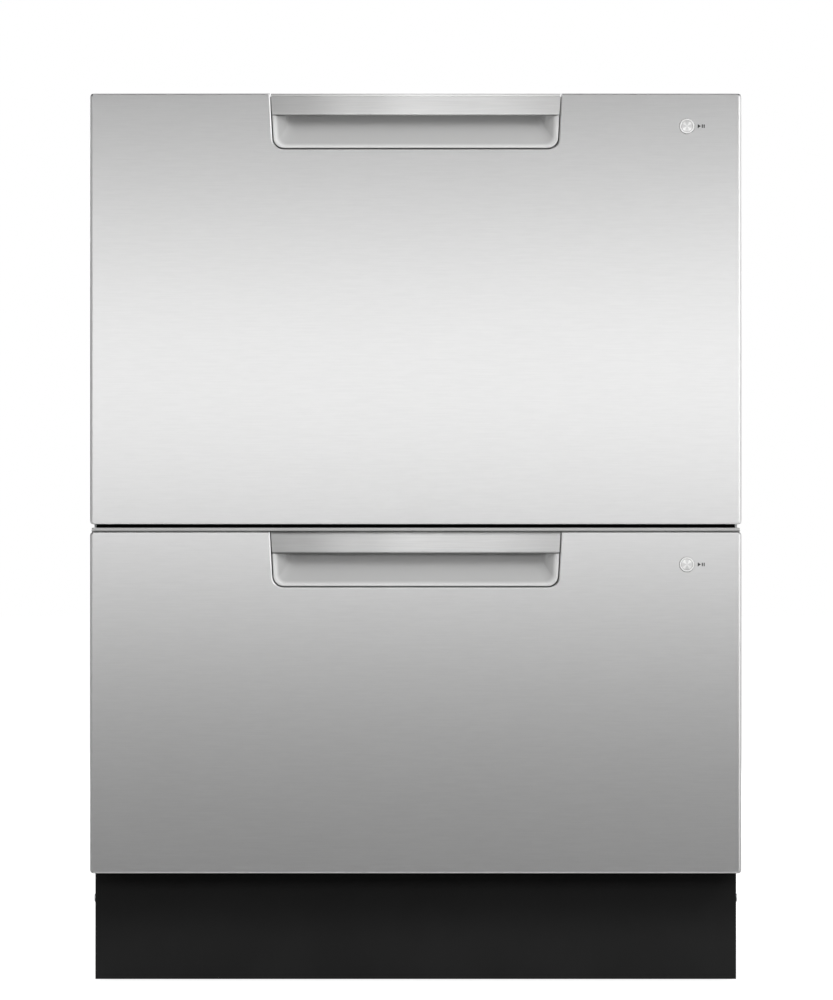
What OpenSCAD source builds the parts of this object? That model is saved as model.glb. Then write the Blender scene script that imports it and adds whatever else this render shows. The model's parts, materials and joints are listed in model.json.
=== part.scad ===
// Double drawer dishwasher: two wash drawers that pull out of one built-in chassis.
// Millimetres. +Z is up, -Y is the front, the origin is on the floor at the centre of the footprint.

/* [Overall] */
// Width across the steel drawer fronts
front_w = 599; // [580:1:640]
// Depth from the face of the start buttons to the back of the rear panel
overall_d = 573; // [565:1:620]
// How far each side of a front stands past the chassis
side_reveal = 2; // [1:0.5:4]

/* [Fronts] */
// Height of the black kick plate
kick_h = 100; // [85:1:130]
// Height of the steel skin on the lower drawer
lower_front_h = 314; // [305:1:380]
// Height of the steel skin on the upper drawer
upper_front_h = 396; // [330:1:460]
// Gap between the kick plate and the lower front
kick_gap = 1.5; // [1:0.5:4]
// Gap between the upper front and the cap of the lower one
fronts_gap = 3.3; // [2:0.1:6]
// How far the lower cap stands above its steel skin
cap_show = 3.7; // [2:0.1:6]
// Thickness of a whole drawer front, from steel face to tub side
front_t = 29.2; // [28:0.1:36]
// Thickness of the stainless sheet
skin_t = 1.2; // [0.8:0.1:2]
// Outside bend radius of the skin's folded edges
skin_bend_r = 2.6; // [2:0.1:4]
// Depth of the skin's side and bottom returns
skin_return = 19; // [14:1:24]
// Depth of the skin's top return, in front of the cap
top_return = 6; // [4:0.5:10]
// Set-back of the kick plate's face behind the steel face
kick_setback = 45; // [34:1:60]

/* [Handle] */
// Width of the handle opening at the top edge of the skin
handle_w = 269; // [200:1:320]
// Height of the handle opening
handle_h = 51; // [44:0.5:60]
// Lean of the opening's side edges from upright, in degrees
handle_taper = 3.7; // [0:0.1:8]
// Radius of the opening's lower corners
handle_corner_r = 10.6; // [6:0.1:16]
// Height of the brushed grip across the opening
grip_h = 17.6; // [14:0.1:22]
// Thickness of the grip from front to back
grip_t = 8; // [5:0.5:9]
// Depth of the moulded finger pocket
pocket_d = 26; // [24:0.5:26]
// Wall thickness of the finger pocket
pocket_wall = 2.6; // [1.8:0.1:3.4]

/* [Start button] */
// Diameter of the start button
button_d = 13.6; // [10:0.1:18]
// Distance from the right edge of the front in to the button's axis
button_inset = 50.1; // [36:0.1:90]
// Distance from the top of the skin down to the button's axis
button_drop = 30; // [20:0.5:40]
// How far the button stands out of the skin
button_proud = 0.8; // [0.4:0.1:1.5]
// Diameter of the button's guide stem
button_stem_d = 6; // [4:0.5:8]

/* [Tub] */
// Space between the tub and the rear panel, which the hoses run in
tub_rear_gap = 52.5; // [48:0.5:80]
// Wall thickness of the tub
tub_wall = 4; // [3:0.25:5]
// Outside radius of the tub's upright corners
tub_corner_r = 38; // [24:1:60]
// Width of the rim flange outside the tub wall
rim_w = 6; // [4:0.5:6]
// Thickness of the rim flange
rim_t = 4; // [3:0.5:6]
// Distance from the top of the steel skin down to the tub's rim
rim_drop = 40; // [38:1:50]
// Radius of the pump sump in the tub floor
sump_r = 60; // [50:1:75]
// Depth of the sump below the tub floor
sump_drop = 12; // [12:0.5:16]
// Height of the flat wash motor under the sump
motor_h = 24; // [18:1:26]
// Radius of the wash motor
motor_r = 56; // [45:1:60]
// Diameter of the spindle that the pump rotor turns on
spindle_d = 8; // [6:0.5:10]
// Radius of the pump rotor's skirt
rotor_r = 46; // [36:1:48]

/* [Spray and filter] */
// Thickness of the filter plate
filter_t = 3; // [2:0.5:4]
// Outside radius of the outlet tube that the spray arm turns on
outlet_r = 15; // [12:0.5:18]
// Clearance of the spray arm's tips to the tub's front and rear walls
arm_gap = 13; // [9:1:40]
// Width of the spray arm at its hub
arm_w = 46; // [40:1:56]
// Thickness of the spray arm blade
arm_t = 9; // [7:0.5:11]

/* [Rack] */
// Diameter of the coated rack wires
wire_d = 4; // [3:0.25:5]
// Height of the rack walls above the rack floor
rack_wall_h = 95; // [85:1:100]
// Clearance from the tub floor up to the rack's lowest wires
rack_lift = 42; // [40:1:48]
// Number of floor wires that run across the rack
cross_wires = 9; // [7:1:11]
// Number of floor wires that run from front to back
long_wires = 11; // [9:1:13]
// Height of the plate tines
tine_h = 64; // [50:1:66]
// Spacing of the plate tines
tine_pitch = 26; // [20:1:32]
// Width of the fold-up cup rack
cup_rack_w = 84; // [70:1:88]
// Length of the fold-up cup rack
cup_rack_l = 288; // [270:1:300]
// Height of the cutlery basket
basket_h = 104; // [80:1:112]
// Width of the cutlery basket
basket_w = 84; // [60:1:90]
// Length of the cutlery basket
basket_l = 176; // [150:1:180]

/* [Dispenser] */
// Width of the detergent dispenser
dispenser_w = 150; // [130:1:170]
// Height of the detergent dispenser
dispenser_h = 66; // [56:1:66]
// Depth of the detergent dispenser off the tub wall
dispenser_t = 18; // [14:0.5:19]
// Width of the detergent cup's door
door_w = 72; // [56:1:76]
// Thickness of the detergent cup's door
door_t = 3; // [2:0.25:4]

/* [Lid] */
// Thickness of the tub lid
lid_t = 16; // [12:0.5:16]
// How far the lid lowers to seal the tub
lid_travel = 9; // [5:0.5:9]
// Height of the seal below the lid
seal_h = 5; // [3:0.25:5]
// Width of the seal
seal_w = 6; // [4:0.5:6]
// Diameter of the lid's lift pins
lift_pin_d = 5; // [3.5:0.25:5.5]

/* [Runners] */
// Height of the telescopic runners
runner_h = 45; // [40:1:50]
// Space between the telescopic runners and the rear panel
runner_rear_gap = 34.5; // [14:0.5:80]
// Thickness of the runners' steel
runner_t = 1.2; // [1:0.1:1.6]
// Distance from the tub's rim down to the runners' centre line
runner_drop = 72; // [66:1:90]
// Space between the tub and a side panel, which a runner fills
runner_space = 16.5; // [16.5:0.1:18]

/* [Chassis] */
// Thickness of the side, rear and top sheets
sheet_t = 2; // [1.5:0.1:2.5]
// Height of the walls of the base tray above its floor
tray_wall_h = 38; // [28:1:44]
// Radius of a levelling foot's pad
foot_r = 20; // [15:1:26]
// Height of a levelling foot's pad
foot_h = 8; // [6:0.5:10]
// Diameter of a levelling foot's threaded stud
foot_stud_d = 10; // [8:1:12]
// Distance of the feet in from the side panels
foot_side_inset = 45.5; // [32:0.5:90]
// Distance of the front feet behind the kick plate's face
foot_inset = 52; // [36:1:80]
// Distance of the rear feet in front of the tray's rear wall
rear_foot_inset = 38; // [36:1:80]
// Distance of the water inlet in from the right side panel
inlet_inset = 145.5; // [100:0.5:170]
// Distance of the drain outlet in from the right side panel
drain_inset = 235.5; // [215:0.5:270]
// Distance of the mains lead and the hoses' turn in from the left side panel
lead_inset = 105.5; // [90:0.5:130]
// Distance of the hoses' tub ends in from the right side panel
hose_tub_inset = 175.5; // [150:0.5:200]
// Distance of the hoses' panel ends in from the right side panel
hose_wall_inset = 95.5; // [80:0.5:120]
// Diameter of the water inlet's threaded spigot
inlet_d = 26.4; // [20:0.1:27]
// Length of the water inlet's threaded spigot
inlet_l = 14; // [10:1:20]
// Diameter of the drain spigot
drain_d = 19; // [15:0.5:22]
// Length of the drain spigot
drain_l = 24; // [16:1:30]
// Diameter of the mains lead's entry
lead_d = 10; // [7:0.5:12]
// Diameter of the chassis screws
screw_d = 4; // [3:0.5:5]
// Diameter of the fixing holes for the cabinet's screws
fixing_d = 5; // [4:0.5:6.5]
// Spacing of the two worktop fixing holes
worktop_fixing = 480; // [400:1:520]

/* [Hidden] */
$fn = 48;
LOWER = 0;
UPPER = 1;

// Clearances
pin_clear = 0.06;      // radial clearance of a turning or sliding pin
fit_gap = 0.3;         // gap between parts that move past each other
slot_gap = 0.6;        // gap between the members of a runner
skin_gap = 0.1;        // gap between the steel skin and the moulding in it
cut = 1;               // how far a cutting shape runs past what it cuts

// Places from front to back
y_face = -overall_d / 2 + button_proud;   // steel face of the drawer fronts
y_front_back = y_face + front_t;          // back of the drawer fronts
y_chassis = y_front_back + 2.5;           // front edge of the chassis
y_rear = overall_d / 2;                   // back of the rear panel
y_rear_in = y_rear - sheet_t;
tub_y0 = y_front_back + 10.5;
tub_y1 = y_rear_in - tub_rear_gap;
tub_mid_y = (tub_y0 + tub_y1) / 2;
arm_r = (tub_y1 - tub_y0) / 2 - tub_wall - arm_gap;   // tip radius of the spray arm
y_kick = y_face + kick_setback;
tray_y0 = y_kick + 3.5;
service_depth = 44.5;                     // depth of the service recess at the back
tray_y1 = y_rear - service_depth;
runner_y0 = y_chassis + 4;
runner_y1 = y_rear_in - runner_rear_gap;
runner_l = runner_y1 - runner_y0;

// Places across
chassis_w = front_w - 2 * side_reveal;    // width across the side panels
side_in_x = chassis_w / 2 - sheet_t;      // inner face of a side panel
button_x = front_w / 2 - button_inset;    // axis of the start button
foot_x = side_in_x - foot_side_inset;
tub_x = side_in_x - runner_space;         // outer face of the tub wall
tub_in_x = tub_x - tub_wall;
rim_x = tub_x + rim_w;

// Heights
floor_gap = 1.5;                          // the kick plate clears the floor
tray_z0 = 14;
tray_floor_z = 20;
tray_t = 2.5;
tray_top = tray_floor_z + tray_t + tray_wall_h;
kick_top = floor_gap + kick_h;
service_top = 100;                        // top of the service recess
function front_h(u) = u == LOWER ? lower_front_h : upper_front_h;
lower_front_top = kick_top + kick_gap + lower_front_h;
function front_z0(u) = u == LOWER ? kick_top + kick_gap : lower_front_top + cap_show + fronts_gap;
function front_z1(u) = front_z0(u) + front_h(u);
function cap_top(u) = u == LOWER ? front_z1(u) + cap_show : front_z1(u) - 0.7;
overall_h = front_z1(UPPER);
chassis_top = overall_h - 2;
base_lift = 7;                            // underside of the wash motor above the front's lower edge
function motor_z(u) = front_z0(u) + base_lift;
function floor_z(u) = motor_z(u) + motor_h + sump_drop;
function tub_floor(u) = floor_z(u) + tub_wall;
function rim_z(u) = front_z1(u) - rim_drop;
function runner_z(u) = rim_z(u) - runner_drop;
function rack_z(u) = tub_floor(u) + rack_lift;
function lid_z0(u) = rim_z(u) + 0.4 + lid_travel + seal_h;
function lid_z1(u) = lid_z0(u) + lid_t;

// ---------- shared shapes ----------

module block(p0, p1) {
    translate(p0) cube(p1 - p0);
}

module both_sides() {
    children();
    mirror([1, 0, 0]) children();
}

// Extrudes a profile drawn as (x, z) from y0 to y1.
module along_y(y0, y1) {
    translate([0, y1, 0]) rotate([90, 0, 0]) linear_extrude(y1 - y0) children();
}

// Extrudes a profile drawn as (y, z) from x0 to x1.
module along_x(x0, x1) {
    translate([x0, 0, 0]) rotate([90, 0, 90]) linear_extrude(x1 - x0) children();
}

module rod_x(x0, x1, y, z, r) {
    translate([x0, y, z]) rotate([0, 90, 0]) cylinder(h = x1 - x0, r = r);
}

module rod_y(x, y0, y1, z, r) {
    translate([x, y1, z]) rotate([90, 0, 0]) cylinder(h = y1 - y0, r = r);
}

module rod_z(x, y, z0, z1, r) {
    translate([x, y, z0]) cylinder(h = z1 - z0, r = r);
}

// A rectangle from p0 to p1 with true arcs at its corners.
module round_rect(p0, p1, r) {
    translate([p0[0] + r, p0[1]]) square([p1[0] - p0[0] - 2 * r, p1[1] - p0[1]]);
    translate([p0[0], p0[1] + r]) square([p1[0] - p0[0], p1[1] - p0[1] - 2 * r]);
    for (x = [p0[0] + r, p1[0] - r], y = [p0[1] + r, p1[1] - r])
        translate([x, y]) circle(r);
}

module round_slab(p0, p1, z0, z1, r) {
    translate([0, 0, z0]) linear_extrude(z1 - z0) round_rect(p0, p1, r);
}

// A quarter bend of a rod, in the plane of X and Y, from the +X side to the +Y side.
module quarter_bend(bend_r, r) {
    rotate_extrude(angle = 90) translate([bend_r, 0]) circle(r);
}

// ---------- drawer fronts ----------

// The handle opening as (x, z), grown outwards by g, for a skin whose top is at z1.
function handle_outline(z1, g, top) =
    let (
        hw = handle_w / 2 + g / cos(handle_taper),
        h = handle_h + g,
        r = handle_corner_r + g,
        s = (h - r + r * sin(handle_taper)) / cos(handle_taper),
        cx = hw - s * sin(handle_taper) - r * cos(handle_taper),
        cz = z1 - h + r,
        rise = top - z1,
        right = [
            [hw + rise * tan(handle_taper), top],
            for (i = [0:8])
                let (a = -handle_taper - (90 - handle_taper) * i / 8) [cx + r * cos(a), cz + r * sin(a)]
        ],
        left = [for (i = [len(right) - 1:-1:0]) [-right[i][0], right[i][1]]]
    )
    concat(right, left);

module handle_prism(u, g, y0, y1, top) {
    along_y(y0, y1) polygon(handle_outline(front_z1(u), g, top));
}

// A box with its front edges rounded, which the skin's outside and inside are cut from.
module pan_body(u, inset, y_back) {
    r = skin_bend_r - inset;
    x = front_w / 2 - inset;
    y = y_face + inset;
    z0 = front_z0(u) + inset;
    z1 = front_z1(u) - inset;
    intersection() {
        translate([0, 0, z0]) linear_extrude(z1 - z0) {
            translate([-x + r, y]) square([2 * (x - r), y_back - y]);
            translate([-x, y + r]) square([2 * x, y_back - y - r]);
            for (s = [-1, 1]) translate([s * (x - r), y + r]) circle(r);
        }
        along_x(-x, x) {
            translate([y, z0 + r]) square([y_back - y, z1 - z0 - 2 * r]);
            translate([y + r, z0]) square([y_back - y - r, z1 - z0]);
            for (z = [z0 + r, z1 - r]) translate([y + r, z]) circle(r);
        }
    }
}

module front_panel(u) {
    color([0.80, 0.80, 0.79])
    difference() {
        pan_body(u, 0, y_face + skin_return);
        pan_body(u, skin_t, y_face + skin_return + cut);
        block([-front_w, y_face + top_return, front_z1(u) - skin_bend_r - cut],
              [front_w, y_front_back, front_z1(u) + cut]);
        handle_prism(u, 0, y_face - cut, y_face + skin_return + cut, front_z1(u) + cut);
        rod_y(button_x, y_face - cut, y_face + skin_return, front_z1(u) - button_drop,
              button_d / 2 + fit_gap);
    }
}

cap_depth_z = 14;       // height of the cap below the top of the skin
backing_wall = 3;
rib_pitch = front_w / 6.5;
button_boss_gap = 6;    // from the steel face to the boss that guides the button

module front_backing(u) {
    x = front_w / 2 - skin_t - skin_gap;
    y0 = y_face + skin_t + skin_gap;
    z0 = front_z0(u) + skin_t + skin_gap;
    z1 = front_z1(u) - cap_depth_z;
    bz = front_z1(u) - button_drop;
    w = backing_wall;
    y_plate = y_front_back - w;
    color([0.55, 0.56, 0.57])
    difference() {
        union() {
            difference() {
                intersection() {
                    pan_body(u, skin_t + skin_gap, y_front_back);
                    block([-x - cut, y0 - cut, z0 - cut], [x + cut, y_front_back, z1]);
                }
                block([-x + w, y0 - cut, z0 + w], [x - w, y_plate, z1 - w]);
            }
            // Upright and level ribs between the skin and the plate.
            for (i = [-3:3])
                block([i * rib_pitch - w / 2, y0, z0 + w / 2],
                      [i * rib_pitch + w / 2, y_plate + 1, z1 - w / 2]);
            for (f = [1 / 3, 2 / 3]) let (z = z0 + (z1 - z0) * f)
                block([-x + w / 2, y0, z - w / 2], [x - w / 2, y_plate + 1, z + w / 2]);
            // Collar that holds the finger pocket.
            handle_prism(u, w + fit_gap, y0, y_front_back, z1);
            rod_y(button_x, y_face + button_boss_gap, y_plate + 1, bz, button_stem_d / 2 + 5);
        }
        handle_prism(u, fit_gap, y0 - cut, y_plate, z1 + cut);
        rod_y(button_x, y_face + button_boss_gap - cut, y_plate, bz, button_stem_d / 2 + pin_clear);
    }
}

module top_cap(u) {
    x = front_w / 2 - skin_t;
    z1 = front_z1(u);
    z_low = z1 - cap_depth_z;
    y_lip = y_face + top_return;
    w = 2.5;
    color([0.66, 0.67, 0.68])
    difference() {
        union() {
            block([-x, y_lip, z_low], [x, y_front_back, cap_top(u)]);
            if (u == LOWER) cap_lip(x, z1, cap_top(u), y_lip);
        }
        // Hollow from below, on each side of the handle.
        both_sides() block([handle_w / 2 + 8, y_lip + w, z_low - cut],
                           [x - w, y_front_back - w, z1 - w - 1]);
        // Room for the finger pocket.
        block([-handle_w / 2 - 4, y_lip - cut, z_low - cut],
              [handle_w / 2 + 4, y_face + pocket_d + fit_gap, u == LOWER ? z1 : z1 + cut]);
    }
}

// The part of the lower cap that shows above the steel, with its upper ends cut off and a groove below.
module cap_lip(x, z1, z_top, y_lip) {
    bevel = 2;
    cap_groove = 0.9;
    along_y(y_face + 0.6, y_lip + cut)
        polygon([[-x, z1 + cap_groove], [x, z1 + cap_groove], [x, z_top - bevel], [x - bevel, z_top],
                 [-x + bevel, z_top], [-x, z_top - bevel]]);
}

// Side section of the finger pocket's hollow, as (y, z): flat roof, scooped back and floor.
function scoop_outline(z1) =
    let (
        y_back = y_face + pocket_d - pocket_wall,
        z_roof = z1 - 0.8 - pocket_wall,
        z_sill = z1 - handle_h + pocket_wall,
        ry = pocket_d - pocket_wall - 4,
        rz = 18
    )
    concat(
        [[y_face - cut, z_roof], [y_face - cut, z_sill - 0.6], [y_back - ry, z_sill]],
        [for (i = [1:8]) let (a = -90 + 90 * i / 8) [y_back - ry + ry * cos(a), z_sill + rz + rz * sin(a)]],
        [[y_back, z_roof]]
    );

module handle_pocket(u) {
    z1 = front_z1(u);
    grip_back = y_face + 0.2 + grip_t;
    color([0.72, 0.72, 0.72])
    difference() {
        handle_prism(u, -fit_gap, y_face + 0.5, y_face + pocket_d, z1 - 0.8);
        intersection() {
            handle_prism(u, -pocket_wall, y_face - cut, y_face + pocket_d, z1);
            along_x(-handle_w, handle_w) polygon(scoop_outline(z1));
        }
        // Seat of the grip.
        block([-handle_w, y_face - cut, z1 - 0.8 - grip_h - fit_gap], [handle_w, grip_back, z1 + cut]);
    }
}

module handle_grip(u) {
    z1 = front_z1(u) - 0.8;
    z0 = z1 - grip_h;
    y0 = y_face + 0.2;
    y1 = y0 + grip_t;
    ease = 1.2;
    color([0.78, 0.78, 0.77])
    intersection() {
        handle_prism(u, -0.5, y0 - cut, y1 + cut, z1 + cut);
        along_x(-handle_w, handle_w) polygon([
            [y0 + ease, z1], [y1, z1], [y1, z0 + ease], [y1 - ease, z0],
            [y0 + ease, z0], [y0, z0 + ease], [y0, z1 - ease]
        ]);
    }
}

module start_button(u) {
    z = front_z1(u) - button_drop;
    head_t = 4;
    stem_end = y_front_back - backing_wall - 3;
    color([0.86, 0.86, 0.86])
    union() {
        rod_y(button_x, y_face - button_proud, y_face - button_proud + head_t, z, button_d / 2);
        rod_y(button_x, y_face, stem_end, z, button_stem_d / 2);
        // Flange that keeps the button behind the skin.
        rod_y(button_x, y_face + skin_t + 0.1, y_face + skin_t + 1.1, z, button_d / 2 + 1.4);
    }
}

// ---------- tub ----------

module tub(u) {
    z0 = floor_z(u);
    z1 = rim_z(u);
    rib_t = 8;
    rib_x = tub_x - tub_corner_r - 11;
    color([0.86, 0.87, 0.88])
    union() {
        difference() {
            union() {
                round_slab([-tub_x, tub_y0], [tub_x, tub_y1], z0, z1, tub_corner_r);
                round_slab([-rim_x, tub_y0 - rim_w], [rim_x, tub_y1 + rim_w], z1 - rim_t, z1,
                           tub_corner_r + rim_w);
                rod_z(0, tub_mid_y, z0 - sump_drop, z0 + cut, sump_r + 3);
                // Ribs that carry the drawer front.
                for (x = [-rib_x, -rib_x * 0.52, rib_x * 0.52, rib_x])
                    block([x - rib_t / 2, y_front_back, z0 + 20],
                          [x + rib_t / 2, tub_y0 + cut, z1 - rim_t - 8]);
            }
            round_slab([-tub_in_x, tub_y0 + tub_wall], [tub_in_x, tub_y1 - tub_wall],
                       tub_floor(u), z1 + cut, tub_corner_r - tub_wall);
            rod_z(0, tub_mid_y, z0 - sump_drop + 3, z0 + tub_wall + cut, sump_r);
        }
        rod_z(0, tub_mid_y, z0 - sump_drop + 2, z0 + 3, spindle_d / 2);
    }
}

module wash_motor(u) {
    z0 = motor_z(u);
    z1 = z0 + motor_h;
    color([0.20, 0.21, 0.23])
    difference() {
        union() {
            rod_z(0, tub_mid_y, z0, z1, motor_r);
            for (a = [45:90:315]) translate([0, tub_mid_y, 0]) rotate([0, 0, a])
                block([motor_r - 4, -7, z1 - 4], [sump_r + 2, 7, z1]);
            block([-16, tub_mid_y + motor_r - 6, z0 + 4], [16, tub_mid_y + motor_r + 14, z1 - 6]);
        }
        // Cooling slots in the underside.
        for (a = [0:30:330]) translate([0, tub_mid_y, 0]) rotate([0, 0, a])
            block([20, -2, z0 - cut], [motor_r - 8, 2, z0 + 5]);
    }
}

module pump_rotor(u) {
    z0 = floor_z(u) - sump_drop + 3 + fit_gap;
    plate_t = 3;
    blade_h = 7;
    hub_r = spindle_d / 2 + 4;
    color([0.24, 0.25, 0.28])
    translate([0, tub_mid_y, 0])
    difference() {
        union() {
            rod_z(0, 0, z0, z0 + plate_t, rotor_r);
            rod_z(0, 0, z0, z0 + plate_t + blade_h - 1, hub_r);
            for (a = [0:60:300]) rotate([0, 0, a])
                block([hub_r - 2, -1.2, z0 + 1], [rotor_r - 2, 1.2, z0 + plate_t + blade_h - 1]);
        }
        rod_z(0, 0, z0 - cut, z0 + 2 * blade_h, spindle_d / 2 + pin_clear);
    }
}

filter_z = 5;           // underside of the filter plate above the tub floor
outlet_h = 22;          // height of the outlet tube above the plate's underside

module filter_plate(u) {
    z0 = tub_floor(u) + filter_z;
    gap = 1;
    p0 = [-tub_in_x + gap, tub_y0 + tub_wall + gap];
    p1 = [tub_in_x - gap, tub_y1 - tub_wall - gap];
    r = tub_corner_r - tub_wall - gap;
    skirt = 5;
    color([0.60, 0.61, 0.63])
    difference() {
        union() {
            round_slab(p0, p1, z0, z0 + filter_t, r);
            difference() {
                round_slab(p0, p1, tub_floor(u), z0 + 1, r);
                round_slab(p0 + [skirt, skirt], p1 - [skirt, skirt], tub_floor(u) - cut, z0 + 2, r - skirt);
            }
            rod_z(0, tub_mid_y, z0, z0 + outlet_h, outlet_r);
            rod_z(0, tub_mid_y, z0, z0 + filter_t + 2, sump_r + 14);
        }
        rod_z(0, tub_mid_y, z0 - cut, z0 + outlet_h + cut, outlet_r - 4);
        // Mesh slots round the sump.
        translate([0, tub_mid_y, 0]) for (a = [0:15:345]) rotate([0, 0, a])
            block([outlet_r + 8, -2.2, z0 - cut], [sump_r + 4, 2.2, z0 + filter_t + 3]);
    }
}

module spray_arm(u) {
    z_tube = tub_floor(u) + filter_z + outlet_h;
    z0 = z_tube - 12;
    hub_r = outlet_r + 6;
    tip_r = 13;
    nozzle_x0 = 62;
    nozzle_x1 = arm_r - 24;
    nozzle_pitch = (nozzle_x1 - nozzle_x0) / 4;
    color([0.50, 0.52, 0.55])
    translate([0, tub_mid_y, 0])
    difference() {
        union() {
            rod_z(0, 0, z0 - 2, z_tube + fit_gap + 3, hub_r);
            translate([0, 0, z0]) linear_extrude(arm_t) {
                polygon([
                    [-arm_r + tip_r, -tip_r], [-40, -arm_w / 2], [40, -arm_w / 2], [arm_r - tip_r, -tip_r],
                    [arm_r - tip_r, tip_r], [40, arm_w / 2], [-40, arm_w / 2], [-arm_r + tip_r, tip_r]
                ]);
                for (s = [-1, 1]) translate([s * (arm_r - tip_r), 0]) circle(tip_r);
            }
        }
        rod_z(0, 0, z0 - 3, z_tube + fit_gap, outlet_r + pin_clear);
        // Spray nozzles along both blades.
        for (s = [-1, 1], i = [0:4])
            rod_z(s * (nozzle_x0 + nozzle_pitch * i), s * (i % 2 == 0 ? 5 : -5),
                  z0 - cut, z0 + arm_t + cut, 1.8);
    }
}

// ---------- rack ----------

rack_gap = 13;                                   // rack wall to tub wall
rack_x = tub_in_x - rack_gap;
rack_y0 = tub_y0 + tub_wall + 28;
rack_y1 = tub_y1 - tub_wall - rack_gap;
wire_lap = 0.85;                                 // share of a wire's diameter between crossing wires
bend_r = 12;
seam = 0.12;                                     // gap where the floor grid and the wall frames meet
function cross_y(i) = rack_y0 + 26 + (rack_y1 - rack_y0 - 52) * i / (cross_wires - 1);
function long_x(i) = -rack_x + 22 + (2 * rack_x - 44) * i / (long_wires - 1);

// The floor grid: straight wires across the rack, and others on them from front to back.
module rack_floor(z) {
    r = wire_d / 2;
    for (i = [0:cross_wires - 1])
        rod_x(-rack_x + bend_r + seam, rack_x - bend_r - seam, cross_y(i), z, r);
    for (i = [0:long_wires - 1])
        rod_y(long_x(i), rack_y0 + bend_r + seam, rack_y1 - bend_r - seam, z + wire_lap * wire_d, r);
}

// Half of a rail's corner, from the +X side towards +Y, up to the seam.
module half_corner() {
    rotate_extrude(angle = 45 - seam_turn) translate([bend_r, 0]) circle(wire_d / 2);
}

rail_x = rack_x - wire_lap * wire_d;             // the rails lie inside the uprights
rail_y = rack_y1 - wire_lap * wire_d;
rail_rises = [rack_wall_h / 2 - 8, rack_wall_h - 15];
seam_turn = asin(seam / 2 / bend_r);

// Frame of the right wall: uprights with bent feet, and two rails along them.
module side_wall(z) {
    r = wire_d / 2;
    for (i = [0:cross_wires - 1]) {
        rod_z(rack_x, cross_y(i), z + bend_r, z + rack_wall_h, r);
        translate([rack_x - bend_r, cross_y(i), z + bend_r]) rotate([90, 90, 0]) quarter_bend(bend_r, r);
    }
    for (rise = rail_rises) {
        rod_y(rail_x, rack_y0 + rack_y1 - rail_y + bend_r, rail_y - bend_r, z + rise, r);
        translate([rail_x - bend_r, rail_y - bend_r, z + rise]) half_corner();
        translate([rail_x - bend_r, rack_y0 + rack_y1 - rail_y + bend_r, z + rise])
            mirror([0, 1, 0]) half_corner();
    }
}

// Frame of the rear wall, whose uprights stand on the upper layer of floor wires.
module rear_wall(z) {
    r = wire_d / 2;
    z2 = z + wire_lap * wire_d;
    for (i = [0:long_wires - 1]) {
        rod_z(long_x(i), rack_y1, z2 + bend_r, z + rack_wall_h, r);
        translate([long_x(i), rack_y1 - bend_r, z2 + bend_r]) rotate([0, 90, 0]) quarter_bend(bend_r, r);
    }
    for (rise = rail_rises) {
        rod_x(-rail_x + bend_r, rail_x - bend_r, rail_y, z + rise, r);
        both_sides() translate([rail_x - bend_r, rail_y - bend_r, z + rise])
            rotate([0, 0, 90]) mirror([0, 1, 0]) half_corner();
    }
}

fixed_tine_y = tub_mid_y + 78;
mid_wire = floor((cross_wires - 1) / 2);         // floor wire that the folding tines' clips hold
fold_y = cross_y(mid_wire) + 0.5;
fold_x0 = -150;
fold_tines = 9;
fold_x1 = fold_x0 + (fold_tines - 1) * tine_pitch;
function fold_z(u) = rack_z(u) + wire_lap * wire_d + wire_d + 2.2;
cup_hinge_x = -rack_x + wire_d / 2 + 3 - 0.6;
function cup_hinge_z(u) = rack_z(u) + rack_wall_h - 3;
cup_rod_r = 3;
clip_w = 8;

// Fixed plate tines on their own cross bar, which lies on the floor grid.
module fixed_tines(z) {
    r = wire_d / 2;
    count = 11;
    x0 = -rack_x + 30;
    z_bar = z + wire_lap * wire_d + wire_d + pin_clear;
    z_tip = z + wire_lap * wire_d + tine_h;
    rod_x(x0, x0 + (count - 1) * tine_pitch, fixed_tine_y, z_bar, r);
    for (i = [0:count - 1]) {
        rod_z(x0 + i * tine_pitch, fixed_tine_y, z_bar, z_tip, r);
        translate([x0 + i * tine_pitch, fixed_tine_y, z_tip]) sphere(r);
    }
}

// Foot that snaps under a cross wire and stands on the filter plate, outside the spray arm's sweep.
module rack_foot(u, s, y) {
    foot_r = 7;
    x = s * (rack_x - 22);
    z = rack_z(u);
    r = wire_d / 2;
    difference() {
        rod_z(x, y, tub_floor(u) + filter_z + filter_t, z + wire_lap * wire_d - r - pin_clear, foot_r);
        rod_x(x - foot_r - cut, x + foot_r + cut, y, z, r + pin_clear);
    }
}

// Clip that snaps on the middle cross wire and holds the folding tines' rod.
module tine_clip(u, x) {
    r = wire_d / 2;
    difference() {
        block([x, fold_y - 6, rack_z(u) - r - 1.6], [x + clip_w, fold_y + 6, fold_z(u) + r + 3]);
        rod_x(x - cut, x + clip_w + cut, fold_y, fold_z(u), r + pin_clear);
        rod_x(x - cut, x + clip_w + cut, cross_y(mid_wire), rack_z(u), r + pin_clear);
    }
}

module dish_rack(u) {
    z = rack_z(u);
    color([0.78, 0.79, 0.80]) {
        rack_floor(z);
        side_wall(z);
        union() {
            mirror([1, 0, 0]) side_wall(z);
            // Pivot rod of the cup rack, welded to the left uprights.
            rod_y(cup_hinge_x, tub_mid_y - cup_rack_l / 2 - 8, tub_mid_y + cup_rack_l / 2 + 8,
                  cup_hinge_z(u), cup_rod_r);
        }
        rear_wall(z);
        translate([0, rack_y0 + rack_y1, 0]) mirror([0, 1, 0]) rear_wall(z);
        fixed_tines(z);
        for (s = [-1, 1], y = [cross_y(0), cross_y(cross_wires - 1)]) rack_foot(u, s, y);
        for (x = [fold_x0 - clip_w - 5, fold_x1 + 5]) tine_clip(u, x);
    }
}

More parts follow.
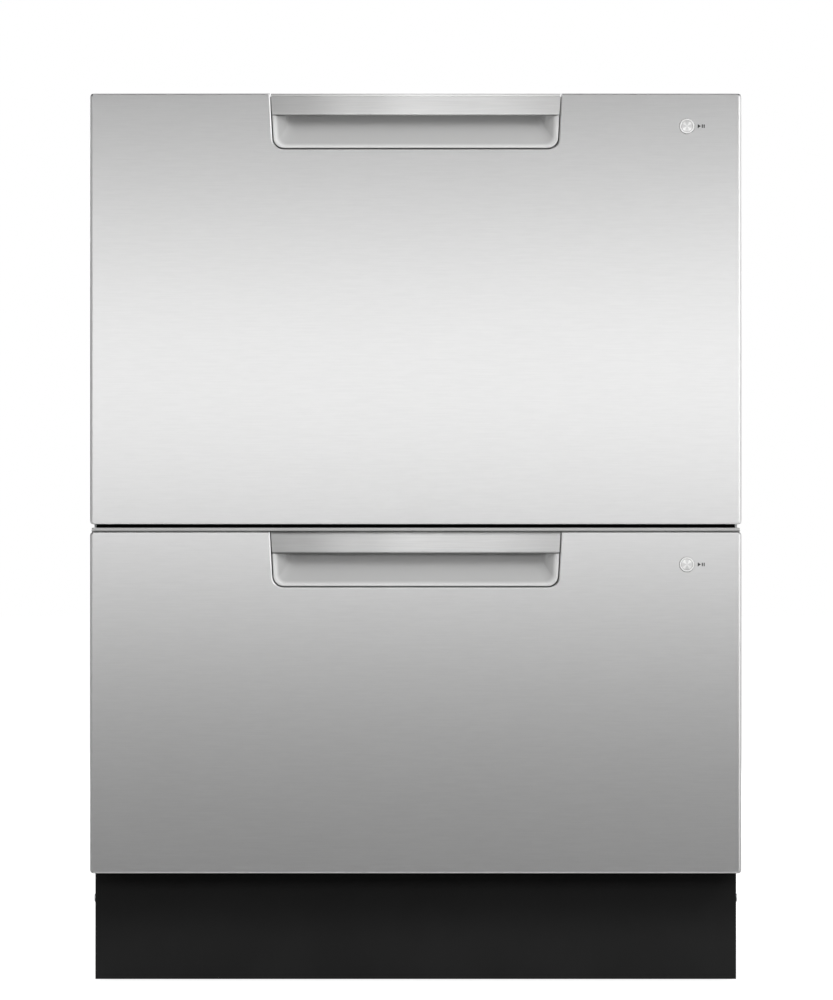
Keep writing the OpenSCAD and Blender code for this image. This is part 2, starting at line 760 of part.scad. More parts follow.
module folding_tines(u) {
    z = fold_z(u);
    r = wire_d / 2;
    h = tine_h - 4;
    color([0.45, 0.50, 0.56])
    union() {
        rod_x(fold_x0 - clip_w - 5, fold_x1 + clip_w + 5, fold_y, z, r);
        for (i = [0:fold_tines - 1]) {
            rod_z(fold_x0 + i * tine_pitch, fold_y, z, z + h, r);
            translate([fold_x0 + i * tine_pitch, fold_y, z + h]) sphere(r);
        }
    }
}

// Places along Y midway between the rack's uprights, where the cup rack's barrels fit.
function barrel_y(k) = (cross_y(k) + cross_y(k + 1)) / 2;

module cup_rack(u) {
    z = cup_hinge_z(u);
    t = 4;
    barrel_r = cup_rod_r + 3;
    x1 = cup_hinge_x + cup_rack_w;
    y0 = tub_mid_y - cup_rack_l / 2;
    y1 = tub_mid_y + cup_rack_l / 2;
    slots = 9;
    pitch = (cup_rack_l - 12) / slots;
    color([0.62, 0.66, 0.70])
    difference() {
        union() {
            block([cup_hinge_x + barrel_r + 3, y0, z - t / 2], [x1, y1, z + t / 2]);
            block([x1 - 3, y0, z - t / 2], [x1, y1, z + 9]);
            for (k = [2, 5]) {
                rod_y(cup_hinge_x, barrel_y(k) - 14, barrel_y(k) + 14, z, barrel_r);
                block([cup_hinge_x, barrel_y(k) - 14, z - t / 2],
                      [cup_hinge_x + barrel_r + 4, barrel_y(k) + 14, z + t / 2]);
            }
        }
        for (k = [2, 5]) rod_y(cup_hinge_x, barrel_y(k) - 15, barrel_y(k) + 15, z, cup_rod_r + pin_clear);
        for (i = [0:slots - 1]) let (y = y0 + 6 + i * pitch)
            for (x = [cup_hinge_x + 16, cup_hinge_x + 16 + (cup_rack_w - 22) / 2])
                block([x, y + 3, z - t], [x + (cup_rack_w - 22) / 2 - 6, y + pitch - 3, z + t]);
    }
}

basket_x1 = rack_x - 9;
basket_y1 = rack_y1 - 9;

// The basket is moulded panels that snap together: floor, long sides, ends and dividers.
module cutlery_basket(u) {
    z0 = rack_z(u) + wire_lap * wire_d + wire_d / 2;
    z1 = z0 + basket_h;
    x0 = basket_x1 - basket_w;
    y0 = basket_y1 - basket_l;
    w = 2.5;
    cells = 3;
    cell = (basket_l - w) / cells;
    slots = 6;
    slot_pitch = (basket_h - 30) / 3;
    z_wall = z0 + w + seam;
    color([0.48, 0.51, 0.55]) {
        // Floor, with drain slots.
        difference() {
            block([x0, y0, z0], [basket_x1, basket_y1, z0 + w]);
            for (i = [0:cells - 1], j = [0:3])
                block([x0 + 8 + j * (basket_w - 16) / 4, y0 + 8 + i * cell, z0 - cut],
                      [x0 + 2 + (j + 1) * (basket_w - 16) / 4, y0 + i * cell + cell - 6, z0 + w + cut]);
        }
        // Long sides, with drain slots.
        for (x = [x0, basket_x1 - w])
            difference() {
                block([x, y0, z_wall], [x + w, basket_y1, z1]);
                for (i = [0:cells - 1], j = [0:slots - 1], k = [0:2])
                    let (y = y0 + w + i * cell + 4 + j * (cell - 8) / slots)
                        block([x - cut, y, z0 + 12 + k * slot_pitch],
                              [x + w + cut, y + (cell - 8) / slots - 3.5, z0 + 6 + (k + 1) * slot_pitch]);
            }
        // Ends and dividers.
        for (i = [0:cells])
            block([x0 + w + seam, y0 + i * cell, z_wall], [basket_x1 - w - seam, y0 + w + i * cell, z1]);
    }
}

// ---------- dispenser ----------

dispenser_y0 = tub_y0 + tub_wall;
dispenser_y1 = dispenser_y0 + dispenser_t;
door_hinge_y = dispenser_y1 + 3;
cup_x0 = -dispenser_w / 2 + 6;
pin_r = 1.5;
function dispenser_z0(u) = rim_z(u) - 18 - dispenser_h;
function door_hinge_z(u) = dispenser_z0(u) + 8;

module detergent_dispenser(u) {
    z0 = dispenser_z0(u);
    z1 = z0 + dispenser_h;
    zh = door_hinge_z(u);
    cap_r = 17;
    color([0.70, 0.72, 0.74])
    difference() {
        union() {
            block([-dispenser_w / 2, dispenser_y0, z0], [dispenser_w / 2, dispenser_y1, z1]);
            // Ears that hold the door's pins.
            for (x = [cup_x0 - 5, cup_x0 + door_w + 0.4])
                block([x, dispenser_y1 - cut, zh - 4], [x + 4.6, door_hinge_y + 3.5, zh + 4]);
            // Rinse aid filler cap beside the cup.
            rod_y(cup_x0 + door_w + 34, dispenser_y1 - cut, dispenser_y1 + 5, z0 + dispenser_h / 2, cap_r);
            block([cup_x0 + door_w + 34 - cap_r + 3, dispenser_y1, z0 + dispenser_h / 2 - 2],
                  [cup_x0 + door_w + 34 + cap_r - 3, dispenser_y1 + 9, z0 + dispenser_h / 2 + 2]);
        }
        // Detergent cup.
        block([cup_x0 + 5, dispenser_y1 - dispenser_t + 4, zh + 6],
              [cup_x0 + door_w - 5, dispenser_y1 + cut, z1 - 6]);
        rod_x(cup_x0 - 6, cup_x0 + door_w + 6, door_hinge_y, zh, pin_r + pin_clear);
    }
}

module dispenser_door(u) {
    zh = door_hinge_z(u);
    z1 = dispenser_z0(u) + dispenser_h - 2;
    y0 = dispenser_y1 + fit_gap;
    color([0.82, 0.83, 0.84])
    union() {
        block([cup_x0, y0, zh], [cup_x0 + door_w, y0 + door_t, z1]);
        rod_x(cup_x0, cup_x0 + door_w, door_hinge_y, zh, 2.6);
        rod_x(cup_x0 - 4.5, cup_x0 + door_w + 4.5, door_hinge_y, zh, pin_r);
        // Finger lip at the free edge.
        block([cup_x0 + door_w / 2 - 12, y0, z1 - 3], [cup_x0 + door_w / 2 + 12, y0 + door_t + 4, z1]);
    }
}

// ---------- runners ----------

// Closed C section as (x, z) points: web at x_web, flanges towards x_tip, lips of height lip.
function c_section(x_web, x_tip, half_h, lip) =
    let (s = x_web > x_tip ? -1 : 1, t = runner_t)
    [
        [x_web, -half_h], [x_tip, -half_h], [x_tip, -half_h + t + lip], [x_tip - s * t, -half_h + t + lip],
        [x_tip - s * t, -half_h + t], [x_web + s * t, -half_h + t], [x_web + s * t, half_h - t],
        [x_tip - s * t, half_h - t], [x_tip - s * t, half_h - t - lip], [x_tip, half_h - t - lip],
        [x_tip, half_h], [x_web, half_h]
    ];

fixed_x0 = tub_x + 5.4;                        // tub side of the fixed member's lips
mid_half = runner_h / 2 - runner_t - slot_gap;
mid_x0 = fixed_x0 + runner_t + slot_gap;
mid_x1 = side_in_x - runner_t - slot_gap;
inner_half = mid_half - runner_t - slot_gap;
inner_rim_x0 = mid_x0 + runner_t + slot_gap;
inner_x1 = mid_x1 - runner_t - slot_gap;
lip_h = 3.4;
screw_inset = 40;
function screw_ys() = [for (k = [0:2]) runner_y0 + screw_inset + k * (runner_l / 2 - screw_inset)];

module fixed_runners(u) {
    z = runner_z(u);
    color([0.70, 0.72, 0.74])
    both_sides() difference() {
        translate([0, 0, z]) along_y(runner_y0, runner_y1)
            polygon(c_section(side_in_x, fixed_x0, runner_h / 2, lip_h));
        for (y = screw_ys())
            rod_x(side_in_x - 2 * runner_t, side_in_x + cut, y, z, screw_d / 2 + pin_clear);
    }
}

module middle_runners(u) {
    color([0.64, 0.66, 0.68])
    both_sides() translate([0, 0, runner_z(u)]) along_y(runner_y0, runner_y1)
        polygon(c_section(mid_x1, mid_x0, mid_half, lip_h));
}

// The drawer's own member: a channel on the tub wall with rims caught inside the middle member.
module drawer_runners(u) {
    h = inner_half;
    neck = mid_half - runner_t - lip_h - slot_gap;
    t = runner_t;
    color([0.70, 0.72, 0.74])
    both_sides() translate([0, 0, runner_z(u)]) along_y(runner_y0, runner_y1)
        polygon([
            [tub_x, -neck], [inner_rim_x0, -neck], [inner_rim_x0, -h], [inner_x1, -h], [inner_x1, -h + t],
            [inner_rim_x0 + t, -h + t], [inner_rim_x0 + t, -neck + t], [tub_x + t, -neck + t],
            [tub_x + t, neck - t], [inner_rim_x0 + t, neck - t], [inner_rim_x0 + t, h - t],
            [inner_x1, h - t], [inner_x1, h], [inner_rim_x0, h], [inner_rim_x0, neck], [tub_x, neck]
        ]);
}

// ---------- lid ----------

lid_x = rim_x - 1;
lid_y0 = tub_y0 - 4;
lid_y1 = tub_y1 + rim_w + 2;
lid_r = tub_corner_r + 2;
seal_x = tub_x + 1;
seal_y0 = tub_y0;
seal_y1 = tub_y1;
groove = 3;
pin_x = side_in_x - 4.5;
guide_ys = [tub_mid_y - (tub_y1 - tub_y0) / 3, tub_mid_y + (tub_y1 - tub_y0) / 3];

module seal_ring(z0, z1, grow) {
    r = tub_corner_r;
    h = seal_w / 2 + grow;
    difference() {
        round_slab([-seal_x - h, seal_y0 - h], [seal_x + h, seal_y1 + h], z0, z1, r + h);
        round_slab([-seal_x + h, seal_y0 + h], [seal_x - h, seal_y1 - h], z0 - cut, z1 + cut, r - h);
    }
}

module lid(u) {
    z0 = lid_z0(u);
    z1 = lid_z1(u);
    wall = 3.5;
    skin = 2.5;
    band = 12;
    arm_half = 9;
    arm_top = z0 + 7;
    color([0.83, 0.84, 0.85]) {
        difference() {
            union() {
                difference() {
                    round_slab([-lid_x, lid_y0], [lid_x, lid_y1], z0, z1, lid_r);
                    // Hollow from above, inside a thicker band that holds the seal.
                    round_slab([-lid_x + wall, lid_y0 + wall], [lid_x - wall, lid_y1 - wall],
                               z0 + groove + skin, z1 + cut, lid_r - wall);
                    round_slab([-lid_x + band, lid_y0 + band], [lid_x - band, lid_y1 - band],
                               z0 + skin, z1 + cut, lid_r - band);
                }
                // Stiffening ribs.
                for (i = [-2:2]) let (x = i * lid_x / 3)
                    block([x - 1.5, lid_y0 + 2, z0 + 1], [x + 1.5, lid_y1 - 2, z1 - 4]);
                for (i = [-1:1]) let (y = tub_mid_y + i * (lid_y1 - lid_y0) / 4.45)
                    block([-lid_x + 2, y - 1.5, z0 + 1], [lid_x - 2, y + 1.5, z1 - 4]);
                // Arms out to the lift pins.
                both_sides() for (y = guide_ys)
                    block([lid_x - 2, y - arm_half, z0 + 1], [side_in_x - 1, y + arm_half, arm_top]);
            }
            seal_ring(z0 - cut, z0 + groove, 0);
            both_sides() for (y = guide_ys)
                rod_z(pin_x, y, z0 - cut, arm_top + cut, lift_pin_d / 2 + pin_clear);
        }
        // Lift pins, each hung in an arm by its head.
        both_sides() for (y = guide_ys) {
            rod_z(pin_x, y, rim_z(u) - 18, arm_top + pin_clear + 0.5, lift_pin_d / 2);
            rod_z(pin_x, y, arm_top + pin_clear, arm_top + 1.6, lift_pin_d / 2 + 1);
        }
    }
}

module lid_seal(u) {
    color([0.25, 0.26, 0.28])
    seal_ring(lid_z0(u) - seal_h, lid_z0(u) + groove, 0);
}

// Front guides and rear motor housings that the lid's pins slide in.
guide_t = 9;              // thickness of the guides and motors off a side panel
guide_half = 14;          // half the length of a front guide
motor_half = 40;          // half the length of a rear motor
guide_foot = 36;          // how far the guides reach below the rim

module lid_actuators(u) {
    z1 = rim_z(u) + 4;
    z0 = rim_z(u) - guide_foot;
    x0 = side_in_x - guide_t;
    color([0.30, 0.32, 0.35])
    both_sides() difference() {
        union() {
            block([x0, guide_ys[0] - guide_half, z0], [side_in_x, guide_ys[0] + guide_half, z1]);
            block([x0, guide_ys[1] - motor_half, z0], [side_in_x, guide_ys[1] + motor_half, z1]);
        }
        for (y = guide_ys) rod_z(pin_x, y, z0 - cut, z1 + cut, lift_pin_d / 2 + pin_clear);
    }
}

// ---------- hose link ----------

hose_r = 5.5;
feed_r = 4;
hose_back_y = y_rear_in - 7;
hose_front_y = tub_y1 + 8;
hose_turn_x = -side_in_x + lead_inset;
hose_tub_x = side_in_x - hose_tub_inset;
hose_wall_x = side_in_x - hose_wall_inset;
hose_clip_xs = [hose_turn_x + 70, hose_tub_x - 100];

// One hose: out of the rear panel, across, back round a half turn and into the tub's rear wall.
module link_hose(z, r) {
    turn = (hose_back_y - hose_front_y) / 2;
    back = y_rear_in - hose_back_y;
    front = hose_front_y - tub_y1 - fit_gap;
    rod_x(hose_turn_x, hose_wall_x - back, hose_back_y, z, r);
    translate([hose_wall_x - back, y_rear_in, z]) rotate([0, 0, -90]) quarter_bend(back, r);
    translate([hose_turn_x, hose_back_y - turn, z])
        rotate([0, 0, 90]) rotate_extrude(angle = 180) translate([turn, 0]) circle(r);
    rod_x(hose_turn_x, hose_tub_x - front, hose_front_y, z, r);
    translate([hose_tub_x - front, tub_y1 + fit_gap, z]) quarter_bend(front, r);
}

module hose_link(u) {
    z = floor_z(u) + 46;
    rise = 24;
    clip_t = 8;
    color([0.35, 0.36, 0.38])
    union() {
        link_hose(z, hose_r);
        link_hose(z + rise, feed_r);
        // Clips that hold the two hoses together.
        for (x = hose_clip_xs) {
            block([x, hose_back_y - 3, z], [x + clip_t, hose_back_y + 3, z + rise]);
            block([x, hose_front_y - 3, z], [x + clip_t, hose_front_y + 3, z + rise]);
        }
    }
}

// ---------- chassis ----------

fixing_side_y = y_chassis + 11;
fixing_drops = [115, 138];   // below the lower and upper runners
fixing_side_z = [for (u = [LOWER, UPPER]) runner_z(u) - fixing_drops[u]];
kick_screw_z = kick_top - 25.5;
kick_screw_y = y_kick + 16;
kick_return = 26;

module side_panel(s) {
    profile = [
        [y_chassis, kick_top + 1], [y_chassis, chassis_top - sheet_t], [y_rear_in, chassis_top - sheet_t],
        [y_rear_in, tray_z0], [y_kick + sheet_t, tray_z0], [y_kick + sheet_t, kick_top + 1]
    ];
    x0 = min(s * chassis_w / 2, s * side_in_x);
    x1 = max(s * chassis_w / 2, s * side_in_x);
    hole_r = screw_d / 2 + pin_clear;
    color([0.62, 0.64, 0.66])
    difference() {
        along_x(x0, x1) polygon(profile);
        for (z = fixing_side_z) rod_x(x0 - cut, x1 + cut, fixing_side_y, z, fixing_d / 2);
        for (u = [LOWER, UPPER], y = screw_ys()) rod_x(x0 - cut, x1 + cut, y, runner_z(u), hole_r);
        rod_x(x0 - cut, x1 + cut, kick_screw_y, kick_screw_z, hole_r);
        for (z = rear_screw_z) rod_x(x0 - cut, x1 + cut, rear_screw_y, z, hole_r);
        for (y = foot_ys) rod_x(x0 - cut, x1 + cut, y + 22, tray_floor_z + 20, hole_r);
    }
}

module kick_plate() {
    t = sheet_t;
    z1 = kick_top - 6;
    color([0.03, 0.03, 0.03])
    difference() {
        union() {
            block([-chassis_w / 2, y_kick, floor_gap], [chassis_w / 2, y_kick + t, kick_top]);
            both_sides() {
                block([side_in_x - t, y_kick + t / 2, tray_top + 2], [side_in_x, y_kick + kick_return, z1]);
                block([side_in_x - t, y_kick + t / 2, tray_z0 + 4], [side_in_x, tray_y0, z1]);
            }
            block([-chassis_w / 2 + 12, y_kick + t / 2, kick_top - t],
                  [chassis_w / 2 - 12, y_kick + 12, kick_top]);
        }
        both_sides() rod_x(side_in_x - 2 * t, side_in_x + cut, kick_screw_y, kick_screw_z,
                           screw_d / 2 + pin_clear);
    }
}

rear_flange = 18;
rear_screw_y = y_rear_in - rear_flange / 2;
rear_screw_z = [for (k = [0:3]) service_top + 30 + k * (chassis_top - service_top - 58) / 3];
recess_edge = 50;         // plain margin above, between and below the pressed fields
recess_h = (chassis_top - service_top - 3 * recess_edge) / 2;

module rear_panel() {
    color([0.62, 0.64, 0.66])
    difference() {
        union() {
            block([-chassis_w / 2, y_rear_in, service_top - sheet_t], [chassis_w / 2, y_rear, chassis_top]);
            block([-side_in_x, tray_y1, service_top - sheet_t], [side_in_x, y_rear_in + cut, service_top]);
            // Side flanges for the rear screws.
            both_sides() block([side_in_x - sheet_t, y_rear_in - rear_flange, service_top - 1],
                               [side_in_x, y_rear_in + cut, chassis_top - 20]);
        }
        // Pressed stiffening fields, as shallow recesses in the outer face.
        for (k = [0, 1]) pressed_field(service_top + recess_edge + k * (recess_h + recess_edge), recess_h);
        both_sides() for (z = rear_screw_z)
            rod_x(side_in_x - 2 * sheet_t, side_in_x + cut, rear_screw_y, z, screw_d / 2 + pin_clear);
    }
}

module pressed_field(z0, h) {
    x = chassis_w / 2 - 60;
    along_y(y_rear - 0.6, y_rear + cut) round_rect([-x, z0], [x, z0 + h], 24);
}

module top_panel() {
    z1 = chassis_top;
    color([0.62, 0.64, 0.66])
    difference() {
        union() {
            block([-chassis_w / 2, y_chassis, z1 - sheet_t], [chassis_w / 2, y_rear_in, z1]);
            block([-side_in_x, y_chassis, lid_z1(UPPER) + 1], [side_in_x, y_chassis + sheet_t / 2, z1 - 1]);
        }
        for (s = [-1, 1])
            rod_z(s * worktop_fixing / 2, y_chassis + 14, z1 - 2 * sheet_t, z1 + cut, fixing_d / 2);
        along_top_recess(z1);
    }
}

// Shallow pressed field that stiffens the top panel.
module along_top_recess(z1) {
    x = chassis_w / 2 - 50;
    round_slab([-x, y_chassis + 50], [x, y_rear_in - 50], z1 - 0.6, z1 + cut, 24);
}

module middle_rail() {
    z1 = front_z0(UPPER) - fit_gap;
    z0 = lid_z1(LOWER) + 5;
    t = 1.5;
    d = 30;
    y0 = y_chassis + 1;
    color([0.10, 0.10, 0.10])
    along_x(-side_in_x, side_in_x) polygon([
        [y0, z0], [y0 + d, z0], [y0 + d, z0 + t], [y0 + t, z0 + t], [y0 + t, z1 - t], [y0 + d, z1 - t],
        [y0 + d, z1], [y0, z1]
    ]);
}

foot_ys = [y_kick + foot_inset, tray_y1 - rear_foot_inset];
stud_top = kick_top - 5.5;

module base_tray() {
    x = side_in_x;
    w = tray_t;
    color([0.30, 0.32, 0.34])
    difference() {
        union() {
            difference() {
                block([-x, tray_y0, tray_z0], [x, tray_y1, tray_top]);
                block([-x + w, tray_y0 + w, tray_floor_z + w], [x - w, tray_y1 - w, tray_top + cut]);
                block([-x + w, tray_y0 + w, tray_z0 - cut], [x - w, tray_y1 - w, tray_floor_z]);
            }
            for (sx = [-1, 1], y = foot_ys) rod_z(sx * foot_x, y, tray_z0, tray_top, foot_stud_d / 2 + 7);
            // Rear wall carried up to the shelf of the rear panel.
            block([-x, tray_y1 - w, tray_top - cut], [x, tray_y1, service_top]);
            // Cross ribs under the floor.
            for (i = [-2:2]) let (rib_x = i * x / 3.28)
                block([rib_x - 1.5, tray_y0 + 1, tray_z0], [rib_x + 1.5, tray_y1 - 1, tray_floor_z + 1]);
        }
        for (sx = [-1, 1], y = foot_ys)
            rod_z(sx * foot_x, y, tray_z0 - cut, tray_top + cut, foot_stud_d / 2 + pin_clear);
        rod_y(inlet_x, tray_y1 - 2 * w, tray_y1 + cut, service_z, inlet_d / 2 + fit_gap);
        rod_y(drain_x, tray_y1 - 2 * w, tray_y1 + cut, service_z, drain_d / 2 + fit_gap);
        rod_y(lead_x, tray_y1 - 2 * w, tray_y1 + cut, service_z, lead_d / 2 + 4 + fit_gap);
        both_sides() for (y = foot_ys)
            rod_x(x - 2 * w, x + cut, y + 22, tray_floor_z + 20, screw_d / 2 + pin_clear);
    }
}

service_z = tray_floor_z + 32;
inlet_x = side_in_x - inlet_inset;
drain_x = side_in_x - drain_inset;
lead_x = -side_in_x + lead_inset;
seat_gap = 0.2;           // gap from the tray's rear wall to a spigot's shoulder
neck_step = 0.6;          // how much thinner a spigot is where it passes through the wall

module levelling_feet() {
    color([0.12, 0.12, 0.12])
    for (sx = [-1, 1], y = foot_ys) {
        rod_z(sx * foot_x, y, 0, foot_h, foot_r);
        rod_z(sx * foot_x, y, foot_h - 1, stud_top, foot_stud_d / 2);
    }
}

// Pan head screw along X at a side panel's outer face, s = 1 on the right.
module side_screw(s, y, z, l) {
    head_t = 1.6;
    xo = chassis_w / 2;
    mirror([s > 0 ? 0 : 1, 0, 0]) {
        rod_x(xo, xo + head_t, y, z, screw_d);
        rod_x(xo - l, xo + head_t / 2, y, z, screw_d / 2);
    }
}

module chassis_screws() {
    l = sheet_t + runner_t;
    color([0.55, 0.56, 0.58])
    for (s = [-1, 1]) {
        for (u = [LOWER, UPPER], y = screw_ys()) side_screw(s, y, runner_z(u), l);
        side_screw(s, kick_screw_y, kick_screw_z, 2 * sheet_t);
        for (z = rear_screw_z) side_screw(s, rear_screw_y, z, 2 * sheet_t);
        for (y = foot_ys) side_screw(s, y + 22, tray_floor_z + 20, sheet_t + tray_t);
    }
}

valve_d = 34;             // depth of the inlet valve's body
valve_half = 20;          // half its width
coil_r = 13;              // radius of its coil

module inlet_valve() {
    y1 = tray_y1 - tray_t;
    y0 = y1 - valve_d;
    half_h = valve_half * 0.8;
    nozzle = valve_half * 0.3;
    color([0.88, 0.88, 0.86])
    difference() {
        union() {
            block([inlet_x - valve_half, y0, service_z - half_h],
                  [inlet_x + valve_half, y1, service_z + half_h]);
            rod_y(inlet_x, y1 - cut, tray_y1 + inlet_l - cut, service_z, inlet_d / 2 - neck_step);
            rod_y(inlet_x, tray_y1 + seat_gap, tray_y1 + inlet_l, service_z, inlet_d / 2);
            rod_z(inlet_x, y1 - valve_d / 2, service_z + half_h - 1,
                  service_z + half_h + valve_half, coil_r);
            block([inlet_x - nozzle, y0 - valve_d / 2, service_z - nozzle],
                  [inlet_x + nozzle, y0 + 1, service_z + nozzle]);
        }
        rod_y(inlet_x, tray_y1 - 4, tray_y1 + inlet_l + cut, service_z, inlet_d / 2 - 4);
    }
}

drain_back = 40;          // how far the drain connector reaches in from the tray's wall
drain_rise = 34;          // height of its upright stub

module drain_connector() {
    y1 = tray_y1 - tray_t;
    stub_y = y1 - drain_back * 0.75;
    color([0.24, 0.25, 0.27])
    difference() {
        union() {
            rod_y(drain_x, y1 - drain_back, tray_y1 + drain_l - cut, service_z, drain_d / 2 - neck_step);
            rod_y(drain_x, tray_y1 + seat_gap, tray_y1 + drain_l, service_z, drain_d / 2);
            rod_y(drain_x, y1 - 6, y1, service_z, drain_d / 2 + 5);
            rod_z(drain_x, stub_y, service_z, service_z + drain_rise, drain_d / 2 - 2 * neck_step);
        }
        rod_y(drain_x, y1 - drain_back + 4, tray_y1 + drain_l + cut, service_z, drain_d / 2 - 2);
        rod_z(drain_x, stub_y, service_z, service_z + drain_rise + cut, drain_d / 2 - 3);
    }
}

box_half = 42;            // half the width of the power box
box_d = 46;               // its depth
box_h = 58;               // its height
box_wall = 3;
entry_l = 10;             // how far the lead's entry stands out of the tray's wall

module power_box() {
    y1 = tray_y1 - tray_t;
    z0 = tray_floor_z + tray_t;
    w = box_wall;
    color([0.16, 0.17, 0.18])
    difference() {
        union() {
            block([lead_x - box_half, y1 - box_d, z0], [lead_x + box_half, y1, z0 + box_h]);
            rod_y(lead_x, y1 - cut, tray_y1 + entry_l, service_z, lead_d / 2 + 4);
        }
        block([lead_x - box_half + w, y1 - box_d + w, z0 + w],
              [lead_x + box_half - w, y1 - w, z0 + box_h - w]);
        rod_y(lead_x, y1 - w - 2, tray_y1 + entry_l + cut, service_z, lead_d / 2);
    }
}

base_tray();
side_panel(-1);  // left_side_panel
side_panel(1);  // right_side_panel
rear_panel();
top_panel();
middle_rail();
kick_plate();
levelling_feet();
chassis_screws();
inlet_valve();
drain_connector();
power_box();
front_panel(UPPER);  // upper_front_panel
front_backing(UPPER);  // upper_front_backing
top_cap(UPPER);  // upper_top_cap
handle_pocket(UPPER);  // upper_handle_pocket
handle_grip(UPPER);  // upper_handle_grip
start_button(UPPER);  // upper_start_button
tub(UPPER);  // upper_tub
drawer_runners(UPPER);  // upper_drawer_runners
middle_runners(UPPER);  // upper_middle_runners
fixed_runners(UPPER);  // upper_fixed_runners
wash_motor(UPPER);  // upper_wash_motor
pump_rotor(UPPER);  // upper_pump_rotor
filter_plate(UPPER);  // upper_filter_plate
spray_arm(UPPER);  // upper_spray_arm
dish_rack(UPPER);  // upper_dish_rack
folding_tines(UPPER);  // upper_folding_tines
cup_rack(UPPER);  // upper_cup_rack
cutlery_basket(UPPER);  // upper_cutlery_basket
detergent_dispenser(UPPER);  // upper_detergent_dispenser
dispenser_door(UPPER);  // upper_dispenser_door
lid(UPPER);  // upper_lid
lid_seal(UPPER);  // upper_lid_seal
lid_actuators(UPPER);  // upper_lid_actuators
hose_link(UPPER);  // upper_hose_link
front_panel(LOWER);  // lower_front_panel
front_backing(LOWER);  // lower_front_backing
top_cap(LOWER);  // lower_top_cap
handle_pocket(LOWER);  // lower_handle_pocket
handle_grip(LOWER);  // lower_handle_grip
start_button(LOWER);  // lower_start_button
tub(LOWER);  // lower_tub
drawer_runners(LOWER);  // lower_drawer_runners
middle_runners(LOWER);  // lower_middle_runners
fixed_runners(LOWER);  // lower_fixed_runners
wash_motor(LOWER);  // lower_wash_motor
pump_rotor(LOWER);  // lower_pump_rotor
filter_plate(LOWER);  // lower_filter_plate
spray_arm(LOWER);  // lower_spray_arm
dish_rack(LOWER);  // lower_dish_rack
folding_tines(LOWER);  // lower_folding_tines
cup_rack(LOWER);  // lower_cup_rack
cutlery_basket(LOWER);  // lower_cutlery_basket
detergent_dispenser(LOWER);  // lower_detergent_dispenser
dispenser_door(LOWER);  // lower_dispenser_door
lid(LOWER);  // lower_lid
lid_seal(LOWER);  // lower_lid_seal
lid_actuators(LOWER);  // lower_lid_actuators
hose_link(LOWER);  // lower_hose_link
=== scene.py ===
"""Dresses the double drawer dishwasher: steel fronts, wash drawers, chassis and the studio round it."""

import json
import logging
import math
from dataclasses import dataclass
from enum import Enum
from typing import Iterable, Sequence

import bmesh
import bpy
from bmesh.types import BMesh, BMEdge, BMVert
from mathutils import Matrix, Vector


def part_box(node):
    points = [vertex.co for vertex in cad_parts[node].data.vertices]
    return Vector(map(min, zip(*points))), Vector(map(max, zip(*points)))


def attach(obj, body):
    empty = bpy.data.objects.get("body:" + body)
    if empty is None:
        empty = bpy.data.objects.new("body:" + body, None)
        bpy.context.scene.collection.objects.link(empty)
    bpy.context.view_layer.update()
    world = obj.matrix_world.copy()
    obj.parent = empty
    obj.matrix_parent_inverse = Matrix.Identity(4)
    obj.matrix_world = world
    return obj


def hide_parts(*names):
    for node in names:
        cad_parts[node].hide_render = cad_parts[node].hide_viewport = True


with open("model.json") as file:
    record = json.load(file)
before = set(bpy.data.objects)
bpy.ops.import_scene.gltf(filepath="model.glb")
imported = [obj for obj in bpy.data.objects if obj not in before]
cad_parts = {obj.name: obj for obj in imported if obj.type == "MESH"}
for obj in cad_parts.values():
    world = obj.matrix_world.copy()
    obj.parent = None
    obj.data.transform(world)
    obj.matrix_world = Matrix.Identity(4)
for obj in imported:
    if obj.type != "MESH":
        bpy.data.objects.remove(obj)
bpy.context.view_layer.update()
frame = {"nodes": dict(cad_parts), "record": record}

Colour = tuple[float, float, float]
Point2 = tuple[float, float]
Point3 = tuple[float, float, float]
Outline = tuple[Point2, ...]
Socket = bpy.types.NodeSocket
Feed = Socket | float | Sequence[float]

LOG = logging.getLogger("dishwasher")
MM = 0.001
WHITE: Colour = (1.0, 1.0, 1.0)
# Vertices nearer than this, in metres, are one.
WELD = 1e-6
# Radius, in millimetres, of the eased edges of the solids that keep their own form.
DRAWER_EDGES = {"tub": 0.8, "top_cap": 0.5, "front_backing": 0.6, "wash_motor": 0.8, "spray_arm": 0.8,
                "filter_plate": 0.3, "detergent_dispenser": 0.6, "dispenser_door": 0.6, "lid": 1.0,
                "lid_actuators": 0.6, "drawer_runners": 0.3, "middle_runners": 0.3, "fixed_runners": 0.3,
                "cup_rack": 0.5, "cutlery_basket": 0.2}
CHASSIS_EDGES = {"base_tray": 0.8, "left_side_panel": 0.3, "right_side_panel": 0.3, "rear_panel": 0.3,
                 "top_panel": 0.3, "middle_rail": 0.4, "kick_plate": 0.4, "levelling_feet": 0.5,
                 "inlet_valve": 0.5, "drain_connector": 0.5, "power_box": 0.8, "chassis_screws": 0.5}


class Deck(Enum):
    """The two wash drawers, named as their CAD nodes are."""

    UPPER = "upper"
    LOWER = "lower"

    def node(self, part: str) -> str:
        """Returns the CAD node or body name of this drawer's part."""
        return f"{self.value}_{part}"


class Spread(Enum):
    """How a pattern runs over a surface, as the scale of its noise along X, Y and Z per metre."""

    LEVEL = (24.0, 1400.0, 1400.0)
    DEEP = (1400.0, 24.0, 1400.0)
    EVEN = (1.0, 1.0, 1.0)


# ---------------------------------------------------------------- finishes


